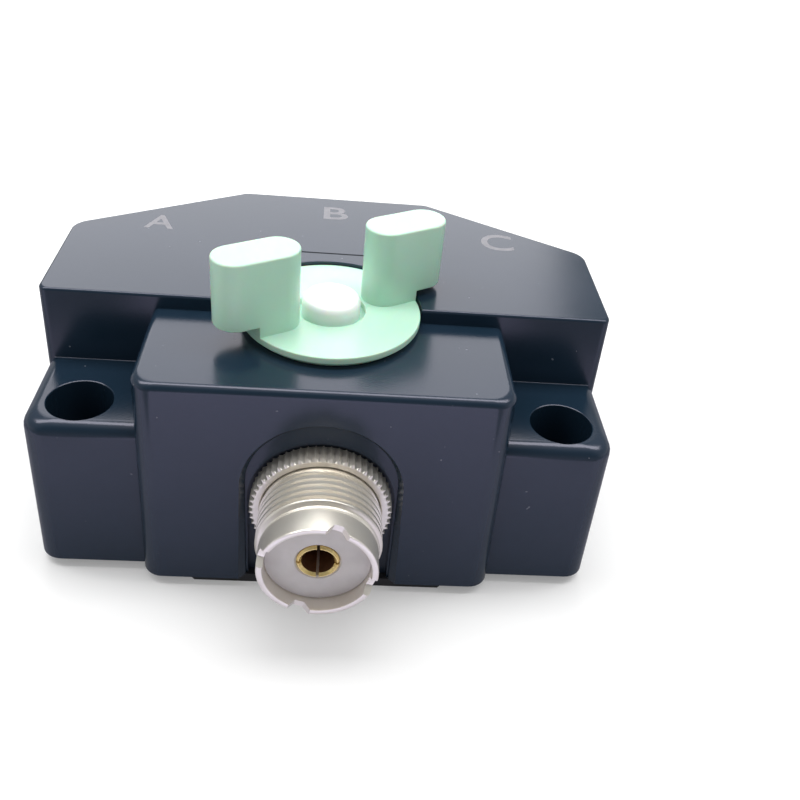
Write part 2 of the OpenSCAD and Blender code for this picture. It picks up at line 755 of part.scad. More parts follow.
module retaining_ring() {
    gap_w = spindle_r;
    color([0.3, 0.3, 0.33])
    translate([0, 0, clip_z]) difference() {
        cylinder(r = clip_r, h = clip_t);
        translate([0, 0, -overrun]) cylinder(r = spindle_r - clip_groove, h = clip_t + 2 * overrun);
        translate([0, -gap_w / 2, -overrun]) cube([2 * clip_r, gap_w, clip_t + 2 * overrun]);
    }
}

ball_dist = chamber_r - small_gap - ball_r;
pocket_start = spindle_r + spring_seat;

module rotor() {
    color([0.85, 0.83, 0.78])
    rotate([0, 0, -rest_turn]) difference() {
        union() {
            translate([0, 0, rotor_z]) cylinder(r = rotor_r, h = rotor_t);
            translate([0, 0, wiper_z + wiper_t]) cylinder(r = rotor_hub_r, h = rotor_z - wiper_z - wiper_t);
        }
        cylinder(r = spindle_r, h = rear_h);
        for (side = [-1, 1]) rotate([0, side * 90, 0])
            translate([-side * ball_z, 0, pocket_start]) cylinder(r = ball_r + small_gap, h = rotor_r);
    }
}

module wiper_blade() {
    color([0.8, 0.62, 0.3])
    rotate([0, 0, -rest_turn]) translate([0, 0, wiper_z]) difference() {
        union() {
            cylinder(r = common_ring_r, h = wiper_t);
            translate([-strip_w / 2, 0, 0]) cube([strip_w, pad_dist, wiper_t]);
            translate([0, pad_dist, 0]) cylinder(r = wiper_pad_r, h = wiper_t);
        }
        translate([0, 0, -overrun]) cylinder(r = spindle_r + fit_gap, h = wiper_t + 2 * overrun);
    }
}

module detent_balls() {
    color("silver")
    rotate([0, 0, -rest_turn])
    for (side = [-1, 1]) translate([side * ball_dist, 0, ball_z]) sphere(r = ball_r);
}

// A wire swept along a helix from z = 0: rings of points round the path, closed at both ends
spring_sides = 6;
spring_rings = 8;

module coil_spring(length) {
    wire_r = spring_wire / 2;
    coil_r = spring_r - wire_r;
    count = spring_turns * spring_rings;
    rise = (length - spring_wire) / count;
    points = [for (k = [0:count], s = [0:spring_sides - 1])
        let (turn = 360 * k / spring_rings, a = 360 * s / spring_sides, r = coil_r + wire_r * cos(a))
        [r * cos(turn), r * sin(turn), wire_r + rise * k + wire_r * sin(a)]];
    sides = [for (k = [0:count - 1], s = [0:spring_sides - 1])
        let (n = (s + 1) % spring_sides, low = k * spring_sides, high = low + spring_sides)
        each [[low + s, high + s, high + n], [low + s, high + n, low + n]]];
    last = count * spring_sides;
    start_cap = [for (s = [1:spring_sides - 2]) [0, s, s + 1]];
    end_cap = [for (s = [1:spring_sides - 2]) [last, last + s + 1, last + s]];
    polyhedron(points, concat(sides, start_cap, end_cap));
}

module detent_springs() {
    color([0.6, 0.6, 0.62])
    rotate([0, 0, -rest_turn])
    for (side = [-1, 1]) translate([side * pocket_start, 0, ball_z])
        rotate([0, side * 90, 0]) coil_spring(ball_dist - ball_r - pocket_start);
}

// A bar with round ends, standing on its narrow side
module stadium(length, width, height) {
    straight = length - width;
    translate([-straight / 2, -width / 2, 0]) cube([straight, width, height]);
    for (side = [-1, 1]) translate([side * straight / 2, 0, 0]) cylinder(d = width, h = height);
}

module knob() {
    lug_top_z = flange_top_z + lug_h;
    color([0.6, 0.8, 0.66])
    rotate([0, 0, -rest_turn]) difference() {
        union() {
            translate([0, 0, flange_z]) cylinder(r = flange_r, h = flange_t);
            translate([0, 0, hub_z]) cylinder(r = hub_r, h = flange_top_z - hub_z);
            for (side = [-1, 1]) {
                translate([side * lug_x, 0, lug_z]) stadium(lug_len, lug_w, lug_top_z - lug_z);
                intersection() {
                    translate([side * lug_x, 0, flange_z]) stadium(lug_len, lug_w, lug_top_z - flange_z);
                    cylinder(r = flange_r, h = lug_top_z);
                }
            }
        }
        translate([0, 0, hub_z - overrun]) rotate([0, 0, rest_turn])
        spindle_section(spindle_r + running_gap, spindle_top_z - hub_z + overrun);
        cylinder(r = knob_screw_r + small_gap, h = rear_h);
        translate([0, 0, cap_floor_z]) cylinder(r = cap_hole_r, h = lug_h);
    }
}

module knob_screw() {
    color("silver")
    translate([0, 0, cap_floor_z]) difference() {
        union() {
            translate([0, 0, -knob_screw_len]) cylinder(r = knob_screw_r, h = knob_screw_len);
            cylinder(r = knob_head_r, h = knob_head_h);
        }
        for (turn = [0, 90]) rotate([0, 0, turn])
            translate([-knob_screw_r, -knob_screw_r / 6, knob_head_h / 2])
            cube([2 * knob_screw_r, knob_screw_r / 3, knob_head_h]);
    }
}

module knob_cap() {
    cap_t = cap_hole_depth + cap_h;
    color([0.66, 0.85, 0.72])
    translate([0, 0, cap_floor_z]) difference() {
        cylinder(r = cap_r, h = cap_t);
        translate([0, 0, -overrun])
        cylinder(r = knob_head_r + small_gap, h = overrun + knob_head_h + small_gap);
    }
}

housing_cover();
base_plate();
cover_screws();
chassis_screws();
inner_chassis();
socket_shell(common_port);  // common_socket_shell
socket_shell(a_port);  // a_socket_shell
socket_shell(b_port);  // b_socket_shell
socket_shell(c_port);  // c_socket_shell
lock_ring(common_port);  // common_lock_ring
lock_ring(a_port);  // a_lock_ring
lock_ring(b_port);  // b_lock_ring
lock_ring(c_port);  // c_lock_ring
insulator(common_port);  // common_insulator
insulator(a_port);  // a_insulator
insulator(b_port);  // b_insulator
insulator(c_port);  // c_insulator
centre_contact(common_port);  // common_centre_contact
centre_contact(a_port);  // a_centre_contact
centre_contact(b_port);  // b_centre_contact
centre_contact(c_port);  // c_centre_contact
stator_wafer();
wafer_screws();
common_contact_strip();
fixed_strip(a_port, positions[0]);  // a_contact_strip
fixed_strip(b_port, positions[1]);  // b_contact_strip
fixed_strip(c_port, positions[2]);  // c_contact_strip
spindle_bushing();
thrust_washer();
spindle();
retaining_ring();
rotor();
wiper_blade();
detent_balls();
detent_springs();
knob();
knob_screw();
knob_cap();
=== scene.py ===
import json
import math
import bpy
import bmesh
from mathutils import Matrix, Vector


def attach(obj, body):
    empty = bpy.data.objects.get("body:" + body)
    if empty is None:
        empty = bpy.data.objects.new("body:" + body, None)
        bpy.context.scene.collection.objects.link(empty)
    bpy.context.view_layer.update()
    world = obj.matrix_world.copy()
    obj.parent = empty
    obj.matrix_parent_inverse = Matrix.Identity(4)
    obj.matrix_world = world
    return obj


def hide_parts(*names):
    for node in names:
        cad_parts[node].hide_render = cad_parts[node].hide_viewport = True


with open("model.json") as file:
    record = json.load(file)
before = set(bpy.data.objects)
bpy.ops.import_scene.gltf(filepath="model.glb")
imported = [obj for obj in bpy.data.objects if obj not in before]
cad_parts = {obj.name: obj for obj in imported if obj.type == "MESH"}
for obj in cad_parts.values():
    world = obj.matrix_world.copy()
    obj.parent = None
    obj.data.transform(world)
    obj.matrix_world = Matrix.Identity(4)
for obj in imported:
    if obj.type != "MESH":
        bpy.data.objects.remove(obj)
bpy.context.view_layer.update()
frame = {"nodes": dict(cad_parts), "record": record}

mm = 0.001
turn = 2 * math.pi


def addObject(name, data):
    piece = bpy.data.objects.new(name, data)
    bpy.context.scene.collection.objects.link(piece)
    return piece


# Camera, fitted to corners of the photograph: millimetres and degrees
camera = {
    "place": (0.119, -104.234, 97.634), "elevation": 36.407, "yaw": 5.716, "roll": 6.339,
    "lens": 40.697, "sensor": 36, "nearest": 0.005, "farthest": 20,
}


def addCamera():
    elevation, yaw, roll = (math.radians(camera[k]) for k in ("elevation", "yaw", "roll"))
    forward = Vector((math.sin(yaw) * math.cos(elevation), math.cos(yaw) * math.cos(elevation),
                      -math.sin(elevation)))
    flatRight = Vector((math.cos(yaw), -math.sin(yaw), 0))
    flatUp = flatRight.cross(forward)
    right = math.cos(roll) * flatRight + math.sin(roll) * flatUp
    up = -math.sin(roll) * flatRight + math.cos(roll) * flatUp
    data = bpy.data.cameras.new("photo_camera")
    data.lens = camera["lens"]
    data.sensor_width = camera["sensor"]
    data.clip_start = camera["nearest"]
    data.clip_end = camera["farthest"]
    view = addObject("photo_camera", data)
    matrix = Matrix((right, up, -forward)).transposed().to_4x4()
    matrix.translation = Vector(camera["place"]) * mm
    view.matrix_world = matrix
    bpy.context.scene.camera = view


addCamera()
print("camera placed")


# Mesh helpers: lengths are given in millimetres, meshes are made in metres
def makeObject(name, points, faces):
    mesh = bpy.data.meshes.new(name)
    mesh.from_pydata([Vector(p) * mm for p in points], [], faces)
    mesh.update()
    return addObject(name, mesh)


def discard(piece):
    mesh = piece.data
    bpy.data.objects.remove(piece)
    bpy.data.meshes.remove(mesh)


def applyModifiers(piece):
    bpy.context.view_layer.update()
    graph = bpy.context.evaluated_depsgraph_get()
    mesh = bpy.data.meshes.new_from_object(piece.evaluated_get(graph))
    old = piece.data
    piece.modifiers.clear()
    piece.data = mesh
    mesh.name = piece.name
    bpy.data.meshes.remove(old)


def combine(target, tool, operation="DIFFERENCE"):
    step = target.modifiers.new("combine", "BOOLEAN")
    step.operation = operation
    step.solver = "EXACT"
    step.object = tool
    applyModifiers(target)
    discard(tool)


def join(name, pieces):
    whole = bmesh.new()
    for piece in pieces:
        whole.from_mesh(piece.data)
    mesh = bpy.data.meshes.new(name)
    whole.to_mesh(mesh)
    whole.free()
    for piece in pieces:
        discard(piece)
    return addObject(name, mesh)


# Distance that merges what a boolean leaves double
fineWeld = 0.0005


# Merges points and turns the faces outwards
def weld(piece, distance=0.002):
    mesh = bmesh.new()
    mesh.from_mesh(piece.data)
    bmesh.ops.remove_doubles(mesh, verts=mesh.verts, dist=distance * mm)
    bmesh.ops.recalc_face_normals(mesh, faces=mesh.faces)
    mesh.to_mesh(piece.data)
    mesh.free()


# Shades the faces smooth, but for edges bent by more than the angle
def smooth(piece, angle):
    mesh = bmesh.new()
    mesh.from_mesh(piece.data)
    limit = math.radians(angle)
    for face in mesh.faces:
        face.smooth = True
    for edge in mesh.edges:
        edge.smooth = len(edge.link_faces) == 2 and edge.calc_face_angle(0) < limit
    mesh.to_mesh(piece.data)
    mesh.free()
    step = piece.modifiers.new("weighted", "WEIGHTED_NORMAL")
    step.keep_sharp = True
    applyModifiers(piece)


# Closed solid through loops of the same number of points
def loft(name, loops):
    points = [p for loop in loops for p in loop]
    count = len(loops[0])
    faces = [list(range(count))[::-1], [(len(loops) - 1) * count + k for k in range(count)]]
    for row in range(len(loops) - 1):
        for k in range(count):
            nextK = (k + 1) % count
            faces.append([row * count + k, row * count + nextK, (row + 1) * count + nextK,
                          (row + 1) * count + k])
    return makeObject(name, points, faces)


# Turned form about +Z, from (radius, height) pairs: a closed profile, or an open one
def lathe(name, profile, steps=96, closed=True):
    points = []
    faces = []
    rows = len(profile)
    for k in range(steps):
        a = turn * k / steps
        points += [(r * math.cos(a), r * math.sin(a), z) for r, z in profile]
    last = rows if closed else rows - 1
    for k in range(steps):
        nextK = (k + 1) % steps
        for row in range(last):
            nextRow = (row + 1) % rows
            faces.append([k * rows + row, nextK * rows + row, nextK * rows + nextRow, k * rows + nextRow])
    piece = makeObject(name, points, faces)
    weld(piece, 0.0001)
    return piece


def block(name, low, high):
    loop = [(low[0], low[1]), (high[0], low[1]), (high[0], high[1]), (low[0], high[1])]
    return loft(name, [[(x, y, z) for x, y in loop] for z in (low[2], high[2])])


def cylinder(name, radius, low, high, x=0, y=0, steps=48):
    loop = [(x + radius * math.cos(turn * k / steps), y + radius * math.sin(turn * k / steps))
            for k in range(steps)]
    return loft(name, [[(px, py, z) for px, py in loop] for z in (low, high)])


# Points of an arc about the origin, from one angle to another in degrees
def rounded(radius, start, end, steps=6):
    angles = [math.radians(start + (end - start) * k / steps) for k in range(steps + 1)]
    return [(radius * math.cos(angle), radius * math.sin(angle)) for angle in angles]


def turnAboutAxis(piece, degrees):
    piece.data.transform(Matrix.Rotation(math.radians(degrees), 4, "Z"))


def place(piece, matrix):
    scaled = matrix.copy()
    scaled.translation = matrix.translation * mm
    piece.data.transform(scaled)


# Where the sockets are: the housing's face, how far a socket stands out of it and reaches behind its
# seat, the height of its axis, and where its contact's tail ends
rearPort = {"reach": 20.8, "engage": 8.0, "height": 17.75, "tailEnd": 12.0}
ports = {
    "common": {"face": 17.4, "reach": 12.0, "engage": 3.3, "height": 15.5, "tailEnd": 8.0},
    "a": {"face": 36.345, **rearPort},
    "b": {"face": 33.7, **rearPort},
    "c": {"face": 36.345, **rearPort},
}


# Matrix of a socket: +Z outwards along its axis, -Y up, zero beside the spindle
def portMatrix(name):
    mount = next(m for m in frame["record"]["mounts"] if m["name"] == name + "_thread")
    axis = Vector(mount["axis"]).normalized()
    spot = Vector(mount["pos_m"]) / mm
    down = Vector((0, 0, -1))
    flat = Vector((spot.x, spot.y, 0))
    matrix = Matrix((down.cross(axis), down, axis)).transposed().to_4x4()
    matrix.translation = spot - axis * flat.dot(axis)
    return matrix


for portName, port in ports.items():
    port["matrix"] = portMatrix(portName)


# Node helpers
def link(tree, source, target):
    tree.links.new(source, target)


# Gives a socket a number, or the link that it takes its number from
def feed(tree, value, target):
    if isinstance(value, (int, float)):
        target.default_value = value
    else:
        link(tree, value, target)


def addSockets(tree, direction, kind, *names):
    for name in names:
        tree.interface.new_socket(name, in_out=direction, socket_type="NodeSocket" + kind)


def math2(tree, operation, a, b=None, clamp=False):
    node = tree.nodes.new("ShaderNodeMath")
    node.operation = operation
    node.use_clamp = clamp
    feed(tree, a, node.inputs[0])
    if b is not None:
        feed(tree, b, node.inputs[1])
    return node.outputs[0]


def mapRange(tree, value, low, high, start=0.0, end=1.0, interpolation="LINEAR"):
    node = tree.nodes.new("ShaderNodeMapRange")
    node.interpolation_type = interpolation
    feed(tree, value, node.inputs["Value"])
    for key, limit in (("From Min", low), ("From Max", high), ("To Min", start), ("To Max", end)):
        feed(tree, limit, node.inputs[key])
    return node.outputs[0]


def mixColours(tree, factor, a, b):
    node = tree.nodes.new("ShaderNodeMix")
    node.data_type = "RGBA"
    for key, source in (("Factor", factor), ("A", a), ("B", b)):
        link(tree, source, node.inputs[key])
    return node.outputs["Result"]


def separate(tree, vector):
    node = tree.nodes.new("ShaderNodeSeparateXYZ")
    link(tree, vector, node.inputs[0])
    return node.outputs


# A sleeve about +Z with ridges: a thread where they climb, teeth where they run along it
def buildRidgeTree():
    tree = bpy.data.node_groups.new("ridged_sleeve", "GeometryNodeTree")
    addSockets(tree, "INPUT", "Geometry", "Geometry")
    addSockets(tree, "INPUT", "Float", "Root", "Depth", "Start", "Length", "Around", "Per Metre", "Low",
               "High", "Back Fade", "Front Fade", "Shear")
    addSockets(tree, "INPUT", "Int", "Columns", "Rows")
    addSockets(tree, "INPUT", "Material", "Material")
    addSockets(tree, "OUTPUT", "Geometry", "Geometry")
    given = tree.nodes.new("NodeGroupInput").outputs
    out = tree.nodes.new("NodeGroupOutput")
    grid = tree.nodes.new("GeometryNodeMeshGrid")
    for key, value in (("Size X", 1), ("Size Y", 1), ("Vertices X", given["Columns"]),
                       ("Vertices Y", given["Rows"])):
        feed(tree, value, grid.inputs[key])
    spot = separate(tree, tree.nodes.new("GeometryNodeInputPosition").outputs[0])
    u = math2(tree, "ADD", spot[0], 0.5)
    v = math2(tree, "ADD", spot[1], 0.5)
    # the rows climb with the thread, so that each ridge keeps to its own row
    whole = math2(tree, "MULTIPLY", v, math2(tree, "ADD", given["Length"], given["Shear"]))
    climb = math2(tree, "MULTIPLY", math2(tree, "SUBTRACT", 1.0, u), given["Shear"])
    along = math2(tree, "MINIMUM", math2(tree, "MAXIMUM", math2(tree, "SUBTRACT", whole, climb), 0.0),
                  given["Length"])
    # one ridge for each whole number of the phase, faded out towards both ends
    phase = math2(tree, "ADD", math2(tree, "MULTIPLY", along, given["Per Metre"]),
                  math2(tree, "MULTIPLY", u, given["Around"]))
    ridge = mapRange(tree, math2(tree, "PINGPONG", phase, 0.5), given["Low"], given["High"],
                     interpolation="SMOOTHSTEP")
    backFade = math2(tree, "DIVIDE", along, given["Back Fade"], True)
    left = math2(tree, "SUBTRACT", given["Length"], along)
    frontFade = math2(tree, "DIVIDE", left, given["Front Fade"], True)
    fade = math2(tree, "MULTIPLY", backFade, frontFade)
    height = math2(tree, "MULTIPLY", math2(tree, "MULTIPLY", ridge, given["Depth"]), fade)
    radius = math2(tree, "ADD", given["Root"], height)
    angle = math2(tree, "MULTIPLY", u, turn)
    point = tree.nodes.new("ShaderNodeCombineXYZ")
    link(tree, math2(tree, "MULTIPLY", radius, math2(tree, "COSINE", angle)), point.inputs[0])
    link(tree, math2(tree, "MULTIPLY", radius, math2(tree, "SINE", angle)), point.inputs[1])
    link(tree, math2(tree, "ADD", along, given["Start"]), point.inputs[2])
    move = tree.nodes.new("GeometryNodeSetPosition")
    link(tree, grid.outputs[0], move.inputs["Geometry"])
    link(tree, point.outputs[0], move.inputs["Position"])
    merge = tree.nodes.new("GeometryNodeMergeByDistance")
    merge.inputs["Distance"].default_value = 1e-6
    link(tree, move.outputs[0], merge.inputs["Geometry"])
    realize = tree.nodes.new("GeometryNodeRealizeInstances")
    link(tree, merge.outputs[0], realize.inputs[0])
    finish = tree.nodes.new("GeometryNodeSetMaterial")
    link(tree, realize.outputs[0], finish.inputs["Geometry"])
    link(tree, given["Material"], finish.inputs["Material"])
    link(tree, finish.outputs[0], out.inputs[0])
    return tree


ridgeTree = buildRidgeTree()


def ridgedSleeve(name, values):
    piece = makeObject(name, [(0, 0, 0)], [])
    step = piece.modifiers.new("ridges", "NODES")
    step.node_group = ridgeTree
    for item in ridgeTree.interface.items_tree:
        if item.in_out == "INPUT" and item.name in values:
            step[item.identifier] = values[item.name]
    applyModifiers(piece)
    return piece


# Surface of every finish: broad patches, fine grain and a few specks
surface = {
    "patchDetail": 4, "patchRange": (0.35, 0.7), "grainDetail": 3, "grainHeight": 0.0001,
    "speckDetail": 1, "speckRange": (0.79, 0.815), "speckRoughness": 0.5,
}


# The group gives colour, roughness and normal, and the shader stays in the material
def buildFinishTree():
    tree = bpy.data.node_groups.new("surface_finish", "ShaderNodeTree")
    addSockets(tree, "INPUT", "Color", "Colour", "Second Colour", "Speck Colour")
    addSockets(tree, "INPUT", "Float", "Patch Scale", "Patch Amount", "Grain Scale", "Bump", "Roughness",
               "Roughness Spread", "Speck Scale", "Speck Amount")
    addSockets(tree, "OUTPUT", "Color", "Colour")
    addSockets(tree, "OUTPUT", "Float", "Roughness")
    addSockets(tree, "OUTPUT", "Vector", "Normal")
    given = tree.nodes.new("NodeGroupInput").outputs
    out = tree.nodes.new("NodeGroupOutput")
    where = tree.nodes.new("ShaderNodeTexCoord")

    def noise(scale, detail):
        node = tree.nodes.new("ShaderNodeTexNoise")
        link(tree, where.outputs["Object"], node.inputs["Vector"])
        link(tree, given[scale], node.inputs["Scale"])
        node.inputs["Detail"].default_value = detail
        return node.outputs["Fac"]

    patches = noise("Patch Scale", surface["patchDetail"])
    grain = noise("Grain Scale", surface["grainDetail"])
    specks = noise("Speck Scale", surface["speckDetail"])
    patch = mapRange(tree, patches, *surface["patchRange"], 0.0, given["Patch Amount"])
    speck = mapRange(tree, specks, *surface["speckRange"], 0.0, given["Speck Amount"])
    patched = mixColours(tree, patch, given["Colour"], given["Second Colour"])
    spread = math2(tree, "MULTIPLY", math2(tree, "SUBTRACT", patches, 0.5), given["Roughness Spread"])
    rough = math2(tree, "ADD", math2(tree, "ADD", given["Roughness"], spread),
                  math2(tree, "MULTIPLY", speck, surface["speckRoughness"]), True)
    bump = tree.nodes.new("ShaderNodeBump")
    bump.inputs["Distance"].default_value = surface["grainHeight"]
    link(tree, given["Bump"], bump.inputs["Strength"])
    link(tree, grain, bump.inputs["Height"])
    link(tree, mixColours(tree, speck, patched, given["Speck Colour"]), out.inputs["Colour"])
    link(tree, rough, out.inputs["Roughness"])
    link(tree, bump.outputs[0], out.inputs["Normal"])
    return tree


finishTree = buildFinishTree()

# Every finish: group inputs first, then constants of the shader itself
finishes = {
    "housing_black": {
        "Colour": (0.009, 0.022, 0.038), "Second Colour": (0.013, 0.026, 0.045),
        "Speck Colour": (0.3, 0.32, 0.36), "Patch Scale": 90, "Patch Amount": 0.8, "Grain Scale": 5200,
        "Bump": 0.07, "Roughness": 0.19, "Roughness Spread": 0.06, "Speck Scale": 1300, "Speck Amount": 0.3,
        "shader": {"IOR": 1.55, "Specular Tint": (0.89, 0.86, 1, 1)}},
    "plate_black": {
        "Colour": (0.014, 0.015, 0.018), "Second Colour": (0.022, 0.023, 0.027),
        "Speck Colour": (0.1, 0.1, 0.1), "Patch Scale": 120, "Patch Amount": 0.7, "Grain Scale": 2600,
        "Bump": 0.25, "Roughness": 0.55, "Roughness Spread": 0.15, "Speck Scale": 1400, "Speck Amount": 0.4,
        "shader": {"Metallic": 0.0}},
    "cast_dark": {
        "Colour": (0.008, 0.014, 0.026), "Second Colour": (0.013, 0.02, 0.034),
        "Speck Colour": (0.02, 0.02, 0.02), "Patch Scale": 300, "Patch Amount": 1.0, "Grain Scale": 1900,
        "Bump": 0.3, "Roughness": 0.38, "Roughness Spread": 0.1, "Speck Scale": 1200, "Speck Amount": 0.3,
        "shader": {"IOR": 1.5, "Specular Tint": (0.88, 0.9, 1, 1)}},
    "nickel": {
        "Colour": (0.92, 0.88, 0.8), "Second Colour": (0.76, 0.7, 0.61),
        "Speck Colour": (0.35, 0.3, 0.25), "Patch Scale": 260, "Patch Amount": 0.55, "Grain Scale": 3200,
        "Bump": 0.03, "Roughness": 0.33, "Roughness Spread": 0.08, "Speck Scale": 1900, "Speck Amount": 0.35,
        "shader": {"Metallic": 0.74}},
    # a lighter copy of nickel for the lock rings: painted light, lifting their teeth out of the shade under
    # the arch
    "nickel_painted_lighter": {
        "Colour": (0.95, 0.91, 0.84), "Second Colour": (0.82, 0.76, 0.68),
        "Speck Colour": (0.35, 0.3, 0.25), "Patch Scale": 300, "Patch Amount": 0.5, "Grain Scale": 3400,
        "Bump": 0.04, "Roughness": 0.33, "Roughness Spread": 0.08, "Speck Scale": 1900, "Speck Amount": 0.3,
        "shader": {"Metallic": 0.74}},
    "insulator_grey": {
        "Colour": (0.66, 0.6, 0.61), "Second Colour": (0.58, 0.52, 0.53),
        "Speck Colour": (0.2, 0.17, 0.15), "Patch Scale": 350, "Patch Amount": 0.8, "Grain Scale": 2600,
        "Bump": 0.2, "Roughness": 0.55, "Roughness Spread": 0.1, "Speck Scale": 1800, "Speck Amount": 0.4,
        "shader": {"Subsurface Weight": 0.08}},
    "gold": {
        "Colour": (1.0, 0.8, 0.36), "Second Colour": (0.95, 0.68, 0.24),
        "Speck Colour": (0.3, 0.18, 0.07), "Patch Scale": 500, "Patch Amount": 0.6, "Grain Scale": 3600,
        "Bump": 0.06, "Roughness": 0.26, "Roughness Spread": 0.1, "Speck Scale": 2200, "Speck Amount": 0.4,
        "shader": {"Metallic": 0.7}},
    # painted shade: a dark brown for the inside of the contacts' bores
    "bore_painted_shade": {
        "Colour": (0.34, 0.17, 0.09), "Second Colour": (0.22, 0.1, 0.05),
        "Speck Colour": (0.03, 0.02, 0.015), "Patch Scale": 600, "Patch Amount": 0.8, "Grain Scale": 3600,
        "Bump": 0.15, "Roughness": 0.5, "Roughness Spread": 0.15, "Speck Scale": 2200, "Speck Amount": 0.4,
        "shader": {"Metallic": 0.8}},
    "knob_green": {
        "Colour": (0.5, 0.76, 0.61), "Second Colour": (0.455, 0.715, 0.565),
        "Speck Colour": (0.3, 0.42, 0.36), "Patch Scale": 80, "Patch Amount": 0.7, "Grain Scale": 3400,
        "Bump": 0.08, "Roughness": 0.3, "Roughness Spread": 0.08, "Speck Scale": 1500, "Speck Amount": 0.04,
        "shader": {"Subsurface Weight": 0.45, "Subsurface Scale": 0.0012}},
    "cap_green": {
        "Colour": (0.88, 0.96, 0.91), "Second Colour": (0.84, 0.94, 0.88),
        "Speck Colour": (0.4, 0.5, 0.44), "Patch Scale": 110, "Patch Amount": 0.6, "Grain Scale": 3400,
        "Bump": 0.08, "Roughness": 0.32, "Roughness Spread": 0.08, "Speck Scale": 1500, "Speck Amount": 0.04,
        "shader": {"Subsurface Weight": 0.45, "Subsurface Scale": 0.0012}},
    "steel": {
        "Colour": (0.55, 0.55, 0.56), "Second Colour": (0.42, 0.42, 0.43),
        "Speck Colour": (0.2, 0.18, 0.16), "Patch Scale": 420, "Patch Amount": 0.6, "Grain Scale": 2800,
        "Bump": 0.12, "Roughness": 0.33, "Roughness Spread": 0.15, "Speck Scale": 1700, "Speck Amount": 0.4,
        "shader": {"Metallic": 1.0}},
    "brass": {
        "Colour": (0.72, 0.52, 0.24), "Second Colour": (0.55, 0.38, 0.17),
        "Speck Colour": (0.28, 0.18, 0.08), "Patch Scale": 380, "Patch Amount": 0.6, "Grain Scale": 2600,
        "Bump": 0.12, "Roughness": 0.34, "Roughness Spread": 0.15, "Speck Scale": 1700, "Speck Amount": 0.4,
        "shader": {"Metallic": 1.0}},
    "spring_steel": {
        "Colour": (0.46, 0.46, 0.47), "Second Colour": (0.34, 0.34, 0.36),
        "Speck Colour": (0.16, 0.13, 0.1), "Patch Scale": 700, "Patch Amount": 0.6, "Grain Scale": 4200,
        "Bump": 0.1, "Roughness": 0.3, "Roughness Spread": 0.12, "Speck Scale": 2400, "Speck Amount": 0.4,
        "shader": {"Metallic": 1.0}},
    "wafer_brown": {
        "Colour": (0.2, 0.11, 0.05), "Second Colour": (0.15, 0.08, 0.035),
        "Speck Colour": (0.08, 0.045, 0.02), "Patch Scale": 320, "Patch Amount": 1.0, "Grain Scale": 2200,
        "Bump": 0.2, "Roughness": 0.5, "Roughness Spread": 0.15, "Speck Scale": 1300, "Speck Amount": 0.5,
        "shader": {"Metallic": 0.0}},
    "rotor_ivory": {
        "Colour": (0.7, 0.64, 0.5), "Second Colour": (0.62, 0.56, 0.43),
        "Speck Colour": (0.35, 0.3, 0.22), "Patch Scale": 220, "Patch Amount": 0.7, "Grain Scale": 2600,
        "Bump": 0.12, "Roughness": 0.42, "Roughness Spread": 0.12, "Speck Scale": 1500, "Speck Amount": 0.3,
        "shader": {"Subsurface Weight": 0.06}},
    "letter_print": {
        "Colour": (0.16, 0.155, 0.18), "Second Colour": (0.12, 0.118, 0.14),
        "Speck Colour": (0.12, 0.12, 0.16), "Patch Scale": 900, "Patch Amount": 0.8, "Grain Scale": 3600,
        "Bump": 0.12, "Roughness": 0.3, "Roughness Spread": 0.1, "Speck Scale": 2600, "Speck Amount": 0.3,
        "shader": {"Metallic": 0.0}},
    # painted shade: a dark strip with almost no gloss, standing in for the shade of a thin groove behind the
    # knob
    "groove_shade_paint": {
        "Colour": (0.012, 0.014, 0.018), "Second Colour": (0.02, 0.022, 0.028),
        "Speck Colour": (0.05, 0.05, 0.06), "Patch Scale": 900, "Patch Amount": 0.8, "Grain Scale": 3600,
        "Bump": 0.1, "Roughness": 0.6, "Roughness Spread": 0.1, "Speck Scale": 2600, "Speck Amount": 0.4,
        "shader": {"IOR": 1.12}},
}


def makeMaterial(name, values):
    material = bpy.data.materials.new(name)
    material.use_nodes = True
    tree = material.node_tree
    shader = tree.nodes["Principled BSDF"]
    group = tree.nodes.new("ShaderNodeGroup")
    group.node_tree = finishTree
    for key, value in values.items():
        if key != "shader":
            group.inputs[key].default_value = (*value, 1) if isinstance(value, tuple) else value
    for key, value in values["shader"].items():
        shader.inputs[key].default_value = value
    link(tree, group.outputs["Colour"], shader.inputs["Base Color"])
    link(tree, group.outputs["Roughness"], shader.inputs["Roughness"])
    link(tree, group.outputs["Normal"], shader.inputs["Normal"])
    return material


materials = {name: makeMaterial(name, values) for name, values in finishes.items()}
print("materials made")


def dress(piece, *names):
    piece.data.materials.clear()
    for name in names:
        piece.data.materials.append(materials[name])


# The housing's three blocks. Each side is (angle of its outward normal, distance from the spindle),
# each radius rounds the corner after its side, and the edge rounds the top
blocks = {
    "rear": {
        "sides": [(-90, 0), (0, 38.2), (58.894, 36.3454), (90, 33.7), (121.106, 36.3454), (180, 38.2)],
        "radii": [1.2, 3, 2, 2, 3, 1.2], "top": 35.5, "edge": 0.4},
    "block": {
        "sides": [(-90, 17.4), (0, 23.5), (90, 0.8), (180, 23.5)],
        "radii": [2.8, 0.05, 0.05, 2.8], "top": 33.5, "edge": 1.0},
    "ears": {
        "sides": [(-90, 15), (0, 38.1), (90, 6), (180, 38.1)],
        "radii": [3, 0.05, 0.05, 3], "top": 24.8, "edge": 1.8},
}
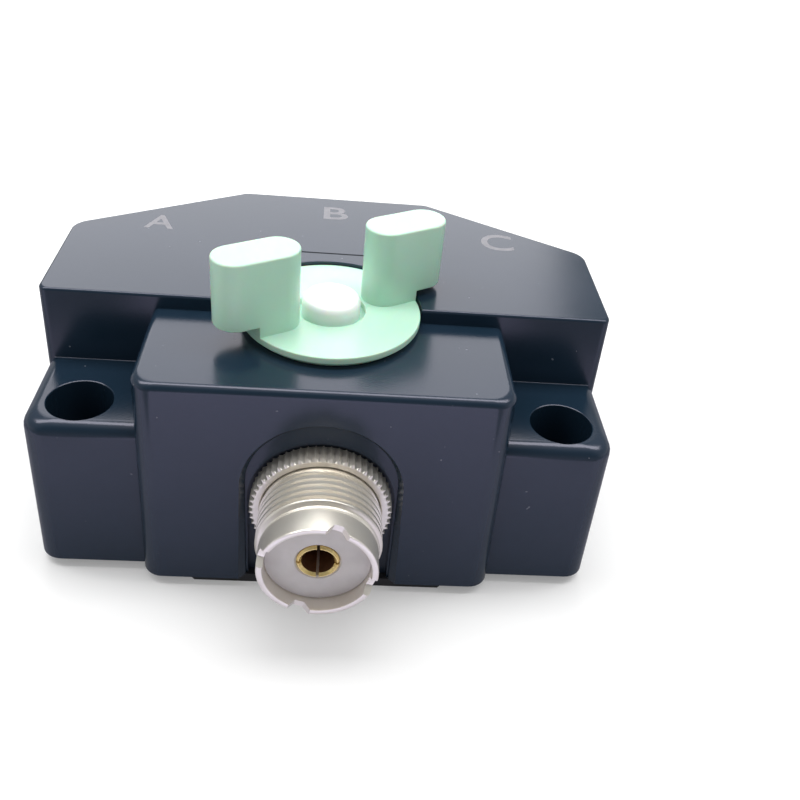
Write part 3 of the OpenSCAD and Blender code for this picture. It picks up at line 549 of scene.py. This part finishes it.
# An ease is (width, then out and down to its middle point), and a rim lists (distance from the housing's
# face, growth of the radius)
housing = {
    "bottom": 1.5, "wall": 2.2, "draft": 1.0, "roof": 31.1, "overrun": 1, "above": 40, "sharp": 25,
    "pocket": 12.2, "pocketFloor": 33.42, "pocketEase": (0.2, 0.06, 0.07), "pocketSteps": 144,
    "hole": 6.0, "holeEdge": 0.15, "holeLow": 20, "edgeSteps": 8,
    "coreLow": 0.1, "coreCorner": 1, "coreSteps": 2,
    "post": 2.5, "postHole": 1.4, "postDepth": 11.7, "postSteps": 24,
    "posts": [(30.99, 6.4), (-30.99, 6.4), (16.3, -12.1), (-16.3, -12.1)],
    "screw": (31.6, -9.5), "screwHole": 2.2, "screwHoleEdge": 0.2, "earLow": 0.05,
    "well": 4.2, "wellFloor": 4.6, "wellEase": (0.12, 0.04, 0.04), "wellWall": 6.0, "wellSteps": 72,
    "cove": 0.4, "coveSink": 0.3, "coveEnds": (23.0, 37.2), "coveSteps": 5,
    "arch": 10.6, "archBack": 2.4, "archRim": [(-0.98, 0), (-0.86, 0.05), (1.6, 2.5)], "archSteps": 48,
    "slot": 9.65, "slotLip": -1.46, "slotFront": 0.5,
    "recess": 9.9, "recessLift": 2.8, "recessRim": [(-0.8, 0), (-0.45, 0.03), (-0.315, 0.09), (1, 1.45)],
}


# Points of a block's outline with rounded corners, grown outwards
def outlinePoints(sides, radii, grow=0, steps=8):
    points = []
    for k, (firstAngle, firstDistance) in enumerate(sides):
        nextAngle, nextDistance = sides[(k + 1) % len(sides)]
        if nextAngle < firstAngle:
            nextAngle += 360
        a, b = math.radians(firstAngle), math.radians(nextAngle)
        radius = radii[k]
        p, q = firstDistance + grow - radius, nextDistance + grow - radius
        scale = math.cos(a) * math.sin(b) - math.sin(a) * math.cos(b)
        x = (p * math.sin(b) - q * math.sin(a)) / scale
        y = (q * math.cos(a) - p * math.cos(b)) / scale
        for step in range(steps + 1):
            angle = a + (b - a) * step / steps
            points.append((x + radius * math.cos(angle), y + radius * math.sin(angle)))
    return points


def mouldedBlock(name):
    form = blocks[name]
    top, edge, bottom = form["top"], form["edge"], housing["bottom"]
    wide = (top - bottom) * math.tan(math.radians(housing["draft"]))
    rows = [(bottom, wide), (top - edge, 0)]
    for x, z in rounded(edge, 0, 90, housing["edgeSteps"])[1:]:
        rows.append((top - edge + z, x - edge))
    loops = [[(x, y, z) for x, y in outlinePoints(form["sides"], form["radii"], grow)] for z, grow in rows]
    return loft(name, loops)


# A small cove where each ear's top meets the rear body
def addCoves(body):
    cove, sink, top = housing["cove"], housing["coveSink"], blocks["ears"]["top"]
    section = [(cove, top - sink), (-cove, top - sink)]
    section += [(-cove + x, top + cove + y) for x, y in rounded(cove, -90, 0, housing["coveSteps"])]
    section += [(cove, top + cove)]
    for side in (-1, 1):
        ends = sorted(side * end for end in housing["coveEnds"])
        combine(body, loft("cove", [[(x, y, z) for y, z in section[::-1]] for x in ends]), "UNION")


# Hollow underneath, round the posts and the pocket's floor
def cutCore(body):
    wall, roof, past, above = (housing[k] for k in ("wall", "roof", "overrun", "above"))
    sides, top = blocks["rear"]["sides"], blocks["rear"]["top"]
    (_, front), (_, half) = blocks["block"]["sides"][:2]
    outline = outlinePoints(sides, [housing["coreCorner"]] * len(sides), -wall, housing["coreSteps"])
    core = loft("core", [[(x, y, z) for x, y in outline] for z in (0, top - wall)])
    combine(core, block("core_front", (-half + wall, -front + wall, housing["coreLow"]),
                        (half - wall, wall + past, roof)), "UNION")
    combine(core, cylinder("roof", housing["pocket"] + wall, roof, above))
    for x, y in housing["posts"]:
        combine(core, cylinder("post", housing["post"], -past, above, x, y))
    combine(body, core)


# Mouth of a round hole in a flat top, with its edge eased
def mouthRows(radius, top, ease):
    edge, out, down = ease
    past = housing["overrun"]
    return [(radius, top - edge), (radius + out, top - down), (radius + edge, top),
            (radius + edge + past, top + past), (0, top + past)]


# Each ear is hollow round its well, and the well's floor has the screw's hole
def cutEars(body):
    wall, past, low = housing["wall"], housing["overrun"], housing["earLow"]
    (_, front), (_, half) = blocks["ears"]["sides"][:2]
    inner, top = blocks["block"]["sides"][1][1] + wall, blocks["ears"]["top"]
    hole, edge, floor = housing["screwHole"], housing["screwHoleEdge"], housing["wellFloor"]
    x, y = housing["screw"]
    for side in (-1, 1):
        ends = sorted((side * inner, side * (half - wall)))
        core = block("ear_core", (ends[0], -front + wall, low), (ends[1], low, top - wall))
        combine(core, cylinder("well_wall", housing["wellWall"], -past, housing["above"], side * x, y))
        combine(body, core)
        rows = [(0, -past), (hole, -past), (hole, floor - edge), (hole + edge, floor)]
        rows += [(housing["well"], floor)] + mouthRows(housing["well"], top, housing["wellEase"])
        well = lathe("well", rows, housing["wellSteps"], False)
        well.data.transform(Matrix.Translation(Vector((side * x, y, 0)) * mm))
        combine(body, well)


def cutPocket(body):
    hole, edge, floor = housing["hole"], housing["holeEdge"], housing["pocketFloor"]
    rows = [(0, housing["holeLow"]), (hole, housing["holeLow"]), (hole, floor - edge), (hole + edge, floor)]
    rows += [(housing["pocket"], floor)]
    rows += mouthRows(housing["pocket"], blocks["rear"]["top"], housing["pocketEase"])
    combine(body, lathe("pocket", rows, housing["pocketSteps"], False))


# Rows are (distance from the housing's face, radius), and lift raises the arch over the socket's axis
def cutArch(body, port, rows, lift=0):
    low = port["height"] + housing["overrun"]
    loops = []
    for offset, radius in rows:
        loop = [(x, y - lift) for x, y in rounded(radius, 0, -180, housing["archSteps"])]
        loop = [(radius, low)] + loop + [(-radius, low)]
        loops.append([(x, y, port["face"] + offset) for x, y in loop[::-1]])
    piece = loft("arch_cutter", loops)
    place(piece, port["matrix"])
    combine(body, piece)


def cutArches(body):
    arch, wall, slot, recess = (housing[k] for k in ("arch", "wall", "slot", "recess"))
    back = -wall - housing["archBack"]
    for name, port in ports.items():
        if name == "common":
            cutArch(body, port, [(back, arch), (housing["slotLip"], arch)])
            cutArch(body, port, [(-wall, slot), (housing["slotFront"], slot)])
            cutArch(body, port, [(z, recess + grow) for z, grow in housing["recessRim"]],
                    housing["recessLift"])
        else:
            cutArch(body, port, [(back, arch)] + [(z, arch + grow) for z, grow in housing["archRim"]])


def buildHousing():
    body = mouldedBlock("rear")
    combine(body, mouldedBlock("block"), "UNION")
    combine(body, mouldedBlock("ears"), "UNION")
    addCoves(body)
    cutCore(body)
    cutEars(body)
    for x, y in housing["posts"]:
        combine(body, cylinder("post_hole", housing["postHole"], -housing["overrun"], housing["postDepth"],
                               x, y, housing["postSteps"]))
    cutPocket(body)
    cutArches(body)
    body.name = body.data.name = "moulded_housing"
    weld(body, fineWeld)
    smooth(body, housing["sharp"])
    dress(body, "housing_black")
    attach(body, "housing")
    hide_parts("housing_cover")


buildHousing()
print("housing made")


# Sockets: threaded shell, toothed lock ring, insulator and sprung contact
shellSizes = {
    "pitch": 1.058, "crest": 7.94, "root": 7.3, "groove": (0.02, 0.31), "startFade": 0.5, "endFade": 0.9,
    "columns": 121, "rowsPerTurn": 16, "recess": 1.5, "ringGap": 0.3,
    "runout": (0.04, 0.12, 0.25), "rim": 7.45, "rimLength": 3.6, "rimEdge": 0.3, "rimEase": 0.09,
    "bore": 6.6, "boreEdge": (0.3, 0.35), "boreEase": (0.08, 0.1),
    "seat": 7.7, "seatEdge": 0.2, "seatEnd": 0.15, "overrun": 0.5, "sharp": 42,
    "notchFloor": 1.2, "notchMouth": 2.9, "notchDepth": 1.2, "notchTurn": -18, "notchEase": (0.12, 0.15, 0.1),
}
ringSizes = {
    "outer": 9.25, "root": 8.74, "inner": 7.8, "long": 3.0, "teeth": 58, "perTooth": 12, "rows": 16,
    "backFade": 0.3, "frontFade": 0.14, "faceStep": 0.25, "innerEdge": 0.2, "sharp": 40,
}
contactSizes = {
    "radius": 2.65, "edge": 0.22, "backEdge": 0.3, "bore": 2.05, "long": 11.2, "boreTip": 0.5,
    "mouth": (0.3, 0.35), "floor": 1.6, "tail": 1.2, "tailEdge": 0.2, "slit": 0.35, "slitLength": 6,
    "overrun": 0.5, "steps": 64, "sharp": 30, "shadeOut": 0.02, "shadeUnder": 0.1,
}
insulatorSizes = {
    "faceDepth": 2.0, "contactProud": 0.2, "edge": 0.12, "gap": 0.02, "holeBevel": 0.26, "sharp": 35,
}


# Ends of a socket along its axis: the rim's front, the lock ring's seat, and the shell's back
def socketEnds(port):
    seat = port["face"] - shellSizes["recess"]
    return port["face"] + port["reach"], seat, seat - port["engage"]


def cutNotches(shell, rimFront):
    s = shellSizes
    half, floor, mouth = s["crest"] + s["overrun"], s["notchFloor"] / 2, s["notchMouth"] / 2
    low, top = rimFront - s["notchDepth"], rimFront + s["overrun"]
    wide, high, inner = s["notchEase"]
    right = [(floor - inner, low), (floor + wide, low + high), (mouth, rimFront), (mouth, top)]
    section = [(-y, z) for y, z in right[::-1]] + right
    for quarter in (0, 1):
        tool = loft("notch", [[(x, y, z) for y, z in section] for x in (-half, half)])
        weld(tool)
        turnAboutAxis(tool, s["notchTurn"] + 90 * quarter)
        combine(shell, tool)


def buildShell(name, port):
    s = shellSizes
    rimFront, seat, start = socketEnds(port)
    threadStart = seat + ringSizes["long"] + s["ringGap"]
    step = s["pitch"] / s["rowsPerTurn"]
    length = step * math.floor((rimFront - s["rimLength"] - threadStart) / step)
    threadEnd = threadStart + length
    sleeve = ridgedSleeve("thread", {
        "Root": s["root"] * mm, "Depth": (s["crest"] - s["root"]) * mm, "Start": threadStart * mm,
        "Length": length * mm, "Around": -1.0, "Per Metre": 1 / (s["pitch"] * mm),
        "Low": s["groove"][0], "High": s["groove"][1], "Back Fade": s["startFade"] * mm,
        "Front Fade": s["endFade"] * mm, "Shear": s["pitch"] * mm, "Columns": s["columns"],
        "Rows": round(length / step) + s["rowsPerTurn"] + 1, "Material": materials["nickel"]})
    root, rim, bore, outer = s["root"], s["rim"], s["bore"], s["seat"]
    under, middle, runout = s["runout"]
    rest = lathe("shell_rest", [
        (root, threadEnd), (rim - under, threadEnd + middle), (rim, threadEnd + runout),
        (rim, rimFront - s["rimEdge"]), (rim - s["rimEase"], rimFront - s["rimEase"]),
        (rim - s["rimEdge"], rimFront), (bore + s["boreEdge"][0], rimFront),
        (bore + s["boreEase"][0], rimFront - s["boreEase"][1]), (bore, rimFront - s["boreEdge"][1]),
        (bore, start), (outer - s["seatEdge"], start), (outer, start + s["seatEdge"]),
        (outer, threadStart - s["seatEnd"]), (root, threadStart)], s["columns"] - 1, False)
    shell = join(name + "_thread_shell", [sleeve, rest])
    weld(shell)
    cutNotches(shell, rimFront)
    place(shell, port["matrix"])
    weld(shell, fineWeld)
    smooth(shell, s["sharp"])
    dress(shell, "nickel")
    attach(shell, "housing")
    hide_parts(name + "_socket_shell")


def buildLockRing(name, port):
    s = ringSizes
    back = socketEnds(port)[1]
    front = back + s["long"]
    columns = s["teeth"] * s["perTooth"]
    # the teeth use the lower half of the ridge's curve, which leaves their crests sharp
    sleeve = ridgedSleeve("teeth", {
        "Root": s["root"] * mm, "Depth": 2 * (s["outer"] - s["root"]) * mm, "Start": back * mm,
        "Length": s["long"] * mm, "Around": float(s["teeth"]), "Per Metre": 0.0, "Low": 0.0, "High": 1.0,
        "Back Fade": s["backFade"] * mm, "Front Fade": s["frontFade"] * mm, "Shear": 0.0,
        "Columns": columns + 1, "Rows": s["rows"], "Material": materials["nickel"]})
    rest = lathe("ring_rest", [
        (s["root"], front), (s["root"] - s["faceStep"], front), (s["inner"] + s["innerEdge"], front),
        (s["inner"], front - s["innerEdge"]), (s["inner"], back), (s["root"], back)], columns, False)
    ring = join(name + "_toothed_ring", [sleeve, rest])
    weld(ring)
    place(ring, port["matrix"])
    smooth(ring, s["sharp"])
    # the rings wear the lighter copy of nickel, painted light against the shade under the arch
    dress(ring, "nickel_painted_lighter")
    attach(ring, "housing")
    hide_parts(name + "_lock_ring")


def buildContact(name, port):
    s = contactSizes
    front = socketEnds(port)[0] - insulatorSizes["faceDepth"] + insulatorSizes["contactProud"]
    boreEnd = front - s["long"]
    back = boreEnd - s["floor"]
    end = port["tailEnd"]
    radius, edge, tail = s["radius"], s["edge"], s["tail"]
    contact = lathe(name + "_sprung_contact", [
        (0, boreEnd - s["boreTip"]), (s["bore"], boreEnd), (s["bore"], front - s["mouth"][1]),
        (s["bore"] + s["mouth"][0], front), (radius - edge, front), (radius, front - edge),
        (radius, back + s["backEdge"]), (radius - s["backEdge"], back), (tail, back),
        (tail, end + s["tailEdge"]), (tail - s["tailEdge"], end), (0, end)], s["steps"], False)
    half = radius + s["overrun"]
    for quarter in (0, 1):
        tool = block("slit", (-half, -s["slit"] / 2, front - s["slitLength"]),
                     (half, s["slit"] / 2, front + s["overrun"]))
        turnAboutAxis(tool, 90 * quarter)
        combine(contact, tool)
    # the bore is painted darker than the outside: painted shade inside the contact's hollow
    dress(contact, "gold", "bore_painted_shade")
    limit = (s["bore"] + s["shadeOut"]) * mm
    low, high = (boreEnd - s["boreTip"] - s["shadeUnder"]) * mm, (front - s["mouth"][0]) * mm
    for face in contact.data.polygons:
        inside = math.hypot(face.center.x, face.center.y) < limit and low < face.center.z < high
        face.material_index = 1 if inside else 0
    place(contact, port["matrix"])
    smooth(contact, s["sharp"])
    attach(contact, "housing")
    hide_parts(name + "_centre_contact")


def buildInsulator(name, port):
    s = insulatorSizes
    rimFront, _, start = socketEnds(port)
    end = rimFront - s["faceDepth"]
    step = end - contactSizes["long"] - contactSizes["floor"] + s["contactProud"]
    outer, hole, tail = shellSizes["bore"], contactSizes["radius"] + s["gap"], contactSizes["tail"]
    piece = lathe(name + "_socket_insulator", [
        (tail, start), (outer, start), (outer, end - s["edge"]), (outer - s["edge"], end),
        (hole + s["holeBevel"], end), (hole, end - s["holeBevel"]), (hole, step), (tail, step)])
    place(piece, port["matrix"])
    smooth(piece, s["sharp"])
    dress(piece, "insulator_grey")
    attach(piece, "housing")
    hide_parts(name + "_insulator")


for portName, port in ports.items():
    buildShell(portName, port)
    buildLockRing(portName, port)
    buildContact(portName, port)
    buildInsulator(portName, port)
    print("socket made:", portName)


# Knob: flange in the pocket, hub, two stadium lugs on their feet, and the cap between them
knob = {
    "turned": 30, "steps": 144, "edgeSteps": 4, "sharp": 30,
    "flange": 12.0, "flangeLow": 33.5, "flangeTop": 35.05, "flangeEdge": 0.15,
    "rimLow": 34.2, "rimUnder": 11.3, "rimEase": (0.08, 0.07),
    "hub": 5.6, "hubLow": 31.4, "hubEdge": 0.2, "screwHole": 1.6, "spindleHole": 3.05,
    "capHole": 4.6, "capFloor": 34.2, "capHoleEdge": 0.2, "capHoleEase": 0.06,
    "lugAway": 10.8, "lugLong": 11.56, "lugWide": 5.72, "lugLow": 36.4, "lugTop": 45.7,
    "lugEdge": 0.25, "lugUnder": 0.3, "footSink": 0.6, "footInside": 0.02, "footTop": 0.8, "above": 50,
}
cap = {
    "radius": 3.9, "low": 34.2, "top": 37.0, "recess": 2.7, "recessTop": 35.8,
    "edge": 0.7, "edgeStretch": 1.3, "edgeDrop": 0.04, "edgeSteps": 8, "crown": [(2.0, 0.03), (0, 0.01)],
    "sharp": 40,
}


def stadiumLoop(middle, long, wide, grow, z, steps=20):
    radius = wide / 2 + grow
    reach = (long - wide) / 2
    loop = []
    for side, start in ((1, -90), (-1, 90)):
        loop += [(middle + side * reach + x, y, z) for x, y in rounded(radius, start, start + 180, steps)]
    return loop


def addLug(body, side):
    k = knob

    def lugLoop(z, grow=0):
        return stadiumLoop(side * k["lugAway"], k["lugLong"], k["lugWide"], grow, z)

    foot = loft("foot", [lugLoop(z) for z in (k["flangeTop"] - k["footSink"], k["lugLow"] + k["footTop"])])
    combine(foot, cylinder("foot_limit", k["flange"] - k["footInside"], k["flangeLow"], k["above"],
                           steps=k["steps"]), "INTERSECT")
    combine(body, foot, "UNION")
    under, edge, steps = k["lugUnder"], k["lugEdge"], k["edgeSteps"]
    rows = [(k["lugLow"] + under + z, x - under) for x, z in rounded(under, -90, 0, steps)]
    rows += [(k["lugTop"] - edge + z, x - edge) for x, z in rounded(edge, 0, 90, steps)]
    combine(body, loft("lug", [lugLoop(z, grow) for z, grow in rows]), "UNION")


def buildKnob():
    k = knob
    low, top, hub, edge = k["flangeLow"], k["flangeTop"], k["hub"], k["flangeEdge"]
    hole, floor = k["capHole"], k["capFloor"]
    profile = [(k["screwHole"], low), (k["spindleHole"], low), (k["spindleHole"], k["hubLow"]),
               (hub - k["hubEdge"], k["hubLow"]), (hub, k["hubLow"] + k["hubEdge"]), (hub, low),
               (k["rimUnder"], low), (k["flange"] - k["rimEase"][0], k["rimLow"] - k["rimEase"][1]),
               (k["flange"], k["rimLow"])]
    profile += [(k["flange"] - edge + x, top - edge + z) for x, z in rounded(edge, 0, 90, k["edgeSteps"])]
    profile += [(hole + k["capHoleEdge"], top), (hole + k["capHoleEase"], top - k["capHoleEase"]),
                (hole, top - k["capHoleEdge"]), (hole, floor), (k["screwHole"], floor)]
    body = lathe("knob", profile, k["steps"])
    for side in (-1, 1):
        addLug(body, side)
    turnAboutAxis(body, k["turned"])
    body.name = body.data.name = "two_lug_knob"
    weld(body, fineWeld)
    smooth(body, k["sharp"])
    dress(body, "knob_green")
    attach(body, "selector_knob")
    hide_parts("knob")


def buildCap():
    c = cap
    radius, top, edge, stretch = c["radius"], c["top"], c["edge"], c["edgeStretch"]
    shoulder = top - c["edgeDrop"] - edge * stretch
    profile = [(0, c["recessTop"]), (c["recess"], c["recessTop"]), (c["recess"], c["low"]),
               (radius, c["low"])]
    profile += [(radius - edge + x, shoulder + z * stretch) for x, z in rounded(edge, 0, 90, c["edgeSteps"])]
    profile += [(away, top - drop) for away, drop in c["crown"]]
    piece = lathe("cap_disc", profile, closed=False)
    weld(piece, fineWeld)
    smooth(piece, c["sharp"])
    dress(piece, "cap_green")
    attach(piece, "selector_knob")
    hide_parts("knob_cap")


buildKnob()
buildCap()
print("knob made")


# Flat marks on the housing's top: a printed position letter at each rear socket, and behind the knob a dark
# strip with almost no gloss, painted shade of a thin groove
flatMarkHeight = 35.505
letterStroke = 0.014
letters = {
    "A": {"low": (-28.2, 19.1), "high": (-23.9, 23.5)},
    "B": {"low": (-1.9, 26.0), "high": (1.9, 30.3)},
    "C": {"low": (22.5, 19.0), "high": (27.4, 24.3)},
}
grooveShadeStrip = {"half": 9, "front": 14.4, "back": 14.75}


def printLetter(text, spot):
    curve = bpy.data.curves.new("position_" + text, "FONT")
    curve.body = text
    curve.offset = letterStroke
    source = addObject("letter_source", curve)
    bpy.context.view_layer.update()
    mesh = bpy.data.meshes.new_from_object(source.evaluated_get(bpy.context.evaluated_depsgraph_get()))
    bpy.data.objects.remove(source)
    for axis, low, high in zip((0, 1), spot["low"], spot["high"]):
        places = [v.co[axis] for v in mesh.vertices]
        first, span = min(places), max(places) - min(places)
        for v, given in zip(mesh.vertices, places):
            v.co[axis] = mm * (low + (given - first) / span * (high - low))
    for v in mesh.vertices:
        v.co.z = mm * flatMarkHeight
    piece = addObject("position_" + text, mesh)
    dress(piece, "letter_print")
    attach(piece, "housing")


# Painted shade: a flat dark strip where a thin groove behind the knob lies in shade
def paintGrooveShade():
    half, front, back = grooveShadeStrip["half"], grooveShadeStrip["front"], grooveShadeStrip["back"]
    corners = ((-half, front), (half, front), (half, back), (-half, back))
    line = makeObject("painted_groove_shade", [(x, y, flatMarkHeight) for x, y in corners], [[0, 1, 2, 3]])
    dress(line, "groove_shade_paint")
    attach(line, "housing")


for text, spot in letters.items():
    printLetter(text, spot)
paintGrooveShade()
print("prints made")


# CAD nodes that keep their own mesh
kept = {
    "base_plate": "plate_black", "cover_screws": "steel", "chassis_screws": "steel",
    "inner_chassis": "cast_dark", "stator_wafer": "wafer_brown", "wafer_screws": "steel",
    "common_contact_strip": "gold", "a_contact_strip": "gold", "b_contact_strip": "gold",
    "c_contact_strip": "gold", "spindle_bushing": "brass", "thrust_washer": "brass", "spindle": "steel",
    "retaining_ring": "spring_steel", "rotor": "rotor_ivory", "wiper_blade": "gold",
    "detent_balls": "steel", "detent_springs": "spring_steel", "knob_screw": "steel",
}
for nodeName, materialName in kept.items():
    node = frame["nodes"][nodeName]
    if not node.material_slots:
        node.data.materials.append(materials[materialName])
    for materialSlot in node.material_slots:
        materialSlot.material = materials[materialName]
print("inner pieces dressed")


# Floor, lamps and surroundings: metres and degrees. The floor turns white for the camera from fadeStart
# to fadeEnd, and each shade is the pair of places that it grows between, then its depth
floorLook = {
    "size": 3.0, "glow": 0.2, "colour": 0.8, "mirrorTint": (0.06, 0.0, 0.34),
    "fadeStart": 0.13, "fadeEnd": 0.3, "fadeGlow": 0.8,
    "underShade": (-0.075, -0.015, 0.85), "sideShade": (0.037, 0.043), "frontShade": (-0.044, -0.05, 0.9),
}
softbox = {"azimuth": -7, "elevation": 38, "away": 0.3, "aim": (0, 0, 0.03), "wide": 0.272, "high": 0.26,
           "radiance": 2.1}
strip = {"place": (0, 0.02, 0.3), "aim": (0, 0.02, 0), "wide": 0.6, "high": 0.11, "radiance": 5.6}
# Mirrored surroundings: bright at the horizon, dim above it, bright again overhead, dark in front. Each is
# the direction's low and high limit, then the level at both
surroundings = {
    "fill": 0.46, "horizon": (0.02, 0.35, 0.72, 0.4), "front": (-0.75, -0.35, 0.26, 1.0),
    "overhead": (0.78, 0.95, 0.0, 0.4),
}


def addFloor():
    f = floorLook
    half = f["size"] / 2 / mm
    floor = makeObject("floor", [(-half, -half, 0), (half, -half, 0), (half, half, 0), (-half, half, 0)],
                       [[0, 1, 2, 3]])
    material = bpy.data.materials.new("floor_white")
    material.use_nodes = True
    tree = material.node_tree
    tree.nodes.clear()
    out = tree.nodes.new("ShaderNodeOutputMaterial")
    diffuse = tree.nodes.new("ShaderNodeBsdfDiffuse")
    glow = tree.nodes.new("ShaderNodeEmission")
    path = tree.nodes.new("ShaderNodeLightPath").outputs
    where = tree.nodes.new("ShaderNodeTexCoord").outputs["Object"]
    # the camera sees the floor white where the lamps no longer reach
    seen = math2(tree, "MAXIMUM", path["Is Camera Ray"],
                 math2(tree, "MAXIMUM", path["Is Glossy Ray"], path["Is Transmission Ray"]))
    away = tree.nodes.new("ShaderNodeVectorMath")
    away.operation = "LENGTH"
    link(tree, where, away.inputs[0])
    far = mapRange(tree, away.outputs["Value"], f["fadeStart"], f["fadeEnd"])
    farGlow = math2(tree, "MULTIPLY", math2(tree, "MULTIPLY", far, path["Is Camera Ray"]), f["fadeGlow"])
    nearGlow = math2(tree, "MULTIPLY", seen, f["glow"])
    link(tree, math2(tree, "ADD", farGlow, nearGlow), glow.inputs["Strength"])
    # mirrored by the walls, the floor's colour is painted darker: painted shade close to the object, and
    # painted shade on the floor beyond the ears, which the rear body's front mirrors
    x, y, _ = separate(tree, where)
    under = mapRange(tree, y, *f["underShade"][:2], 0.0, f["underShade"][2])
    aside = mapRange(tree, math2(tree, "ABSOLUTE", x), *f["sideShade"])
    ahead = mapRange(tree, y, *f["frontShade"][:2], 0.0, f["frontShade"][2])
    shade = math2(tree, "MULTIPLY", path["Is Glossy Ray"],
                  math2(tree, "MAXIMUM", under, math2(tree, "MULTIPLY", aside, ahead)))
    level = math2(tree, "MULTIPLY", math2(tree, "SUBTRACT", 1.0, shade), f["colour"])
    # in reflections the floor is also tinted blue-violet: a painted reflection colour on the walls
    colour = tree.nodes.new("ShaderNodeCombineColor")
    for channel, tint in zip(("Red", "Green", "Blue"), f["mirrorTint"]):
        change = math2(tree, "MULTIPLY", path["Is Glossy Ray"], tint)
        link(tree, math2(tree, "MULTIPLY", level, math2(tree, "ADD", 1.0, change)), colour.inputs[channel])
    link(tree, colour.outputs[0], diffuse.inputs["Color"])
    both = tree.nodes.new("ShaderNodeAddShader")
    link(tree, diffuse.outputs[0], both.inputs[0])
    link(tree, glow.outputs[0], both.inputs[1])
    link(tree, both.outputs[0], out.inputs["Surface"])
    floor.data.materials.append(material)


def addArea(name, lamp, spot):
    data = bpy.data.lights.new(name, "AREA")
    data.shape = "RECTANGLE"
    data.size = lamp["wide"]
    data.size_y = lamp["high"]
    data.energy = lamp["radiance"] * math.pi * lamp["wide"] * lamp["high"]
    light = addObject(name, data)
    light.location = spot
    light.rotation_euler = (Vector(spot) - Vector(lamp["aim"])).to_track_quat("Z", "Y").to_euler()
    light.visible_camera = False


def addWorld():
    world = bpy.data.worlds.new("studio")
    world.use_nodes = True
    bpy.context.scene.world = world
    tree = world.node_tree
    tree.nodes.clear()
    out = tree.nodes.new("ShaderNodeOutputWorld")
    back = tree.nodes.new("ShaderNodeBackground")
    back.inputs["Color"].default_value = (1, 1, 1, 1)
    path = tree.nodes.new("ShaderNodeLightPath").outputs
    _, y, z = separate(tree, tree.nodes.new("ShaderNodeTexCoord").outputs["Generated"])
    around = math2(tree, "MULTIPLY", mapRange(tree, z, *surroundings["horizon"]),
                   mapRange(tree, y, *surroundings["front"]))
    mirrored = math2(tree, "ADD", around, mapRange(tree, z, *surroundings["overhead"]))
    fill = surroundings["fill"]
    glossy = math2(tree, "MULTIPLY", path["Is Glossy Ray"], math2(tree, "SUBTRACT", mirrored, fill))
    strength = math2(tree, "ADD", fill, glossy)
    camera = math2(tree, "MULTIPLY", path["Is Camera Ray"], math2(tree, "SUBTRACT", 1.0, strength))
    link(tree, math2(tree, "ADD", strength, camera), back.inputs["Strength"])
    link(tree, back.outputs[0], out.inputs["Surface"])


addFloor()
azimuth, elevation = math.radians(softbox["azimuth"]), math.radians(softbox["elevation"])
flat = softbox["away"] * math.cos(elevation)
addArea("rear_softbox", softbox, (flat * math.sin(azimuth), flat * math.cos(azimuth),
                                  softbox["away"] * math.sin(elevation)))
addArea("top_strip", strip, strip["place"])
addWorld()

view = bpy.context.scene.view_settings
view.view_transform = "Standard"
print("light set")
